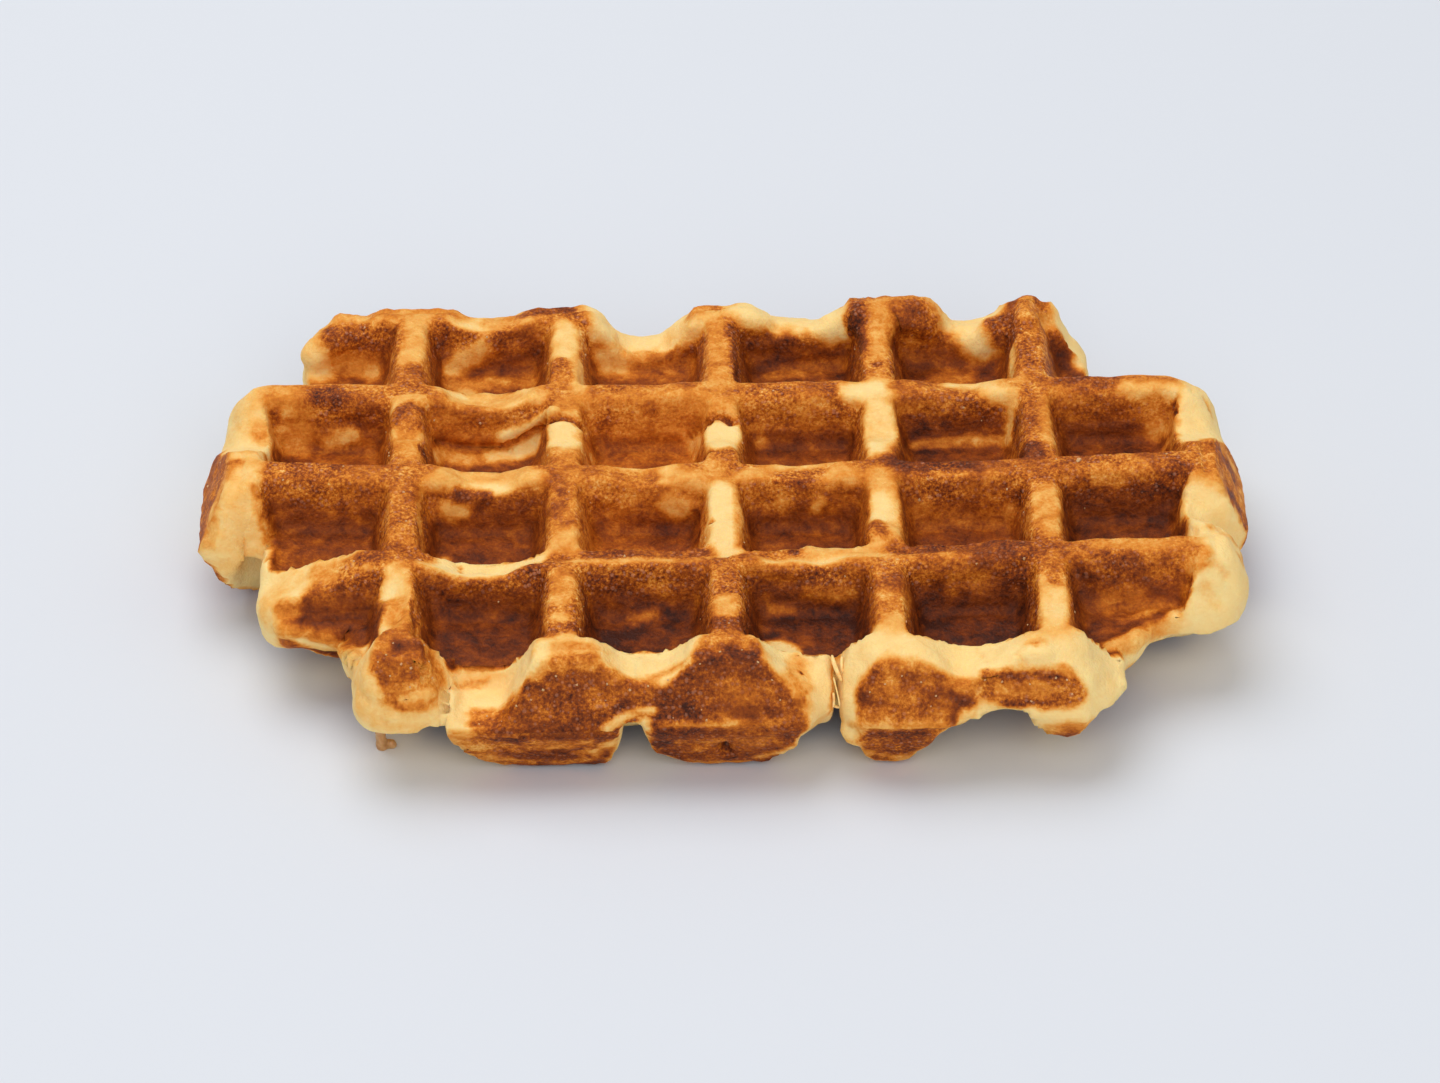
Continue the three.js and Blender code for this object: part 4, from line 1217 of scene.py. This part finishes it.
# the flats of a grain: their normals, and how far out they lie
GRAIN_FLATS = (
    (1, 0.2, 0.1), (-0.8, 0.5, 0.3), (0.1, -1, 0.2), (-0.2, 0.3, 1), (0.3, 0.2, -1),
    (0.2, 1, -0.3), (0.5, -0.6, 0.7),
)
GRAIN_FLAT_REACH = 0.72


class WAFFLE_OT_sugar(bpy.types.Operator):
    """Sets grains of caramelised sugar into the crust"""
    bl_idname = "waffle.sugar"
    bl_label = "Set the sugar grains"

    def execute(self, context):
        settings = context.scene.waffle_sweets
        body = bpy.data.objects["waffle_body"]
        chance = np.random.default_rng(GRAIN_SEED)
        marker = Marker(body, context.scene.waffle_stage)
        places = []
        for radius, u, v in BRIGHT_GRAINS:
            hit, place, normal, _ = marker.under(u, v)
            if hit:
                places.append((radius * BRIGHT_SHARE, place, normal))
        places += self.scattered(body, chance)
        pattern = self.crystal(context)
        grains = []
        for radius, place, normal in places:
            select_only(pattern)
            bpy.ops.object.duplicate()
            grain = context.view_layer.objects.active
            grain.location = place - normal * radius * GRAIN_SINK * MM
            grain.rotation_euler = chance.uniform(0, math.tau, 3)
            grain.scale = radius * chance.uniform(*GRAIN_STRETCH, 3)
            grains.append(grain)
        select_only(pattern)
        bpy.ops.object.delete()
        finish_piece(join(context, grains, "sugar_grains"), glazed_material(
            "sugar", settings.sugar, settings.caramel, GRAIN_CLOUDS), smooth=False)
        return {"FINISHED"}

    def scattered(self, body, chance):
        """Places for grains all over the crust that the iron browned."""
        points = read_points(body)
        normals = read(body, "normal")
        sugar = np.empty(len(points), dtype=np.float32)
        body.data.attributes["sugar"].data.foreach_get("value", sugar)
        sugar[points[:, 2] < LOWEST_GRAIN] = 0
        chosen = chance.choice(len(points), SCATTERED_GRAINS, replace=False, p=sugar / sugar.sum())
        radii = chance.uniform(*GRAIN_RADII, SCATTERED_GRAINS)
        return [(radius, Vector(points[index]) * MM, Vector(normals[index]))
                for radius, index in zip(radii, chosen)]

    def crystal(self, context):
        """A small ball cut to the flats of a crystal."""
        bpy.ops.object.select_all(action="DESELECT")
        bpy.ops.mesh.primitive_ico_sphere_add(subdivisions=2, radius=MM)
        ball = context.view_layer.objects.active
        bpy.ops.object.mode_set(mode="EDIT")
        for normal in GRAIN_FLATS:
            bpy.ops.mesh.select_all(action="SELECT")
            flat = Vector(normal).normalized()
            bpy.ops.mesh.bisect(plane_co=flat * GRAIN_FLAT_REACH * MM, plane_no=flat,
                                use_fill=True, clear_outer=True)
        bpy.ops.object.mode_set(mode="OBJECT")
        return ball


# ---------------------------------------------------------------- the stage, in metres

FLOOR_SIZE = 6
FLOOR_ROUGHNESS = 0.8
LIGHT_SIZE = 1.2
KEY_PLACE = (-0.25, 0.35, 1.15)
FILL_PLACE = (0.15, -1.1, 0.85)
SKY_COLOUR = (0.93, 0.96, 1)
CLIP_END = 20


def area_light(name, place, power):
    """A round light that shines at the middle of the waffle's foot."""
    bpy.ops.object.light_add(type="AREA", location=place)
    light = bpy.context.view_layer.objects.active
    light.name = name
    light.data.shape = "DISK"
    light.data.size = LIGHT_SIZE
    light.data.energy = power
    light.rotation_euler = (-Vector(place)).to_track_quat("-Z", "Y").to_euler()


class WAFFLE_OT_stage(bpy.types.Operator):
    """Sets the floor, the lights and the camera"""
    bl_idname = "waffle.stage"
    bl_label = "Set the stage"

    def execute(self, context):
        settings = context.scene.waffle_stage
        bpy.ops.object.select_all(action="DESELECT")
        bpy.ops.mesh.primitive_plane_add(size=FLOOR_SIZE, location=(0, 0, 0))
        floor = context.view_layer.objects.active
        floor.name = "floor"
        nodes = Nodes("floor")
        nodes.set(Base_Color=linear(settings.floor), Roughness=FLOOR_ROUGHNESS)
        floor.data.materials.append(nodes.material)
        area_light("key_light", KEY_PLACE, settings.key_power)
        area_light("fill_light", FILL_PLACE, settings.fill_power)
        context.scene.view_settings.view_transform = "Standard"
        world = bpy.data.worlds.new("sky")
        world.use_nodes = True
        sky = world.node_tree.nodes["Background"].inputs
        sky["Color"].default_value = linear(SKY_COLOUR)
        sky["Strength"].default_value = settings.sky
        context.scene.world = world
        self.place_camera(context, settings)
        return {"FINISHED"}

    def place_camera(self, context, settings):
        bpy.ops.object.camera_add()
        camera = context.view_layer.objects.active
        camera.name = "camera"
        camera.data.sensor_fit = "HORIZONTAL"
        camera.data.sensor_width = SENSOR
        camera.data.lens = settings.lens
        camera.data.clip_end = CLIP_END
        camera.matrix_world = camera_matrix(settings)
        context.scene.camera = camera


class WAFFLE_PT_panel(bpy.types.Panel):
    """The waffle's steps, in order"""
    bl_idname = "WAFFLE_PT_panel"
    bl_label = "Liege Waffle"
    bl_space_type = "VIEW_3D"
    bl_region_type = "UI"
    bl_category = "Waffle"

    def draw(self, context):
        scene = context.scene
        for settings in (scene.waffle_crust, scene.waffle_sweets, scene.waffle_stage):
            box = self.layout.box()
            for name in settings.bl_rna.properties.keys():
                if name not in {"rna_type", "name"}:
                    box.prop(settings, name)
        for operator in OPERATORS:
            self.layout.operator(operator.bl_idname)


OPERATORS = (WAFFLE_OT_body, WAFFLE_OT_skins, WAFFLE_OT_drip, WAFFLE_OT_sugar, WAFFLE_OT_stage)
CLASSES = (WaffleCrust, WaffleSweets, WaffleStage, *OPERATORS, WAFFLE_PT_panel)


def register():
    for cls in CLASSES:
        bpy.utils.register_class(cls)
    bpy.types.Scene.waffle_crust = bpy.props.PointerProperty(type=WaffleCrust)
    bpy.types.Scene.waffle_sweets = bpy.props.PointerProperty(type=WaffleSweets)
    bpy.types.Scene.waffle_stage = bpy.props.PointerProperty(type=WaffleStage)


def unregister():
    del bpy.types.Scene.waffle_stage
    del bpy.types.Scene.waffle_sweets
    del bpy.types.Scene.waffle_crust
    for cls in reversed(CLASSES):
        bpy.utils.unregister_class(cls)


def main():
    register()
    bpy.ops.waffle.body()
    bpy.ops.waffle.skins()
    bpy.ops.waffle.drip()
    bpy.ops.waffle.sugar()
    bpy.ops.waffle.stage()


if __name__ == "__main__":
    main()
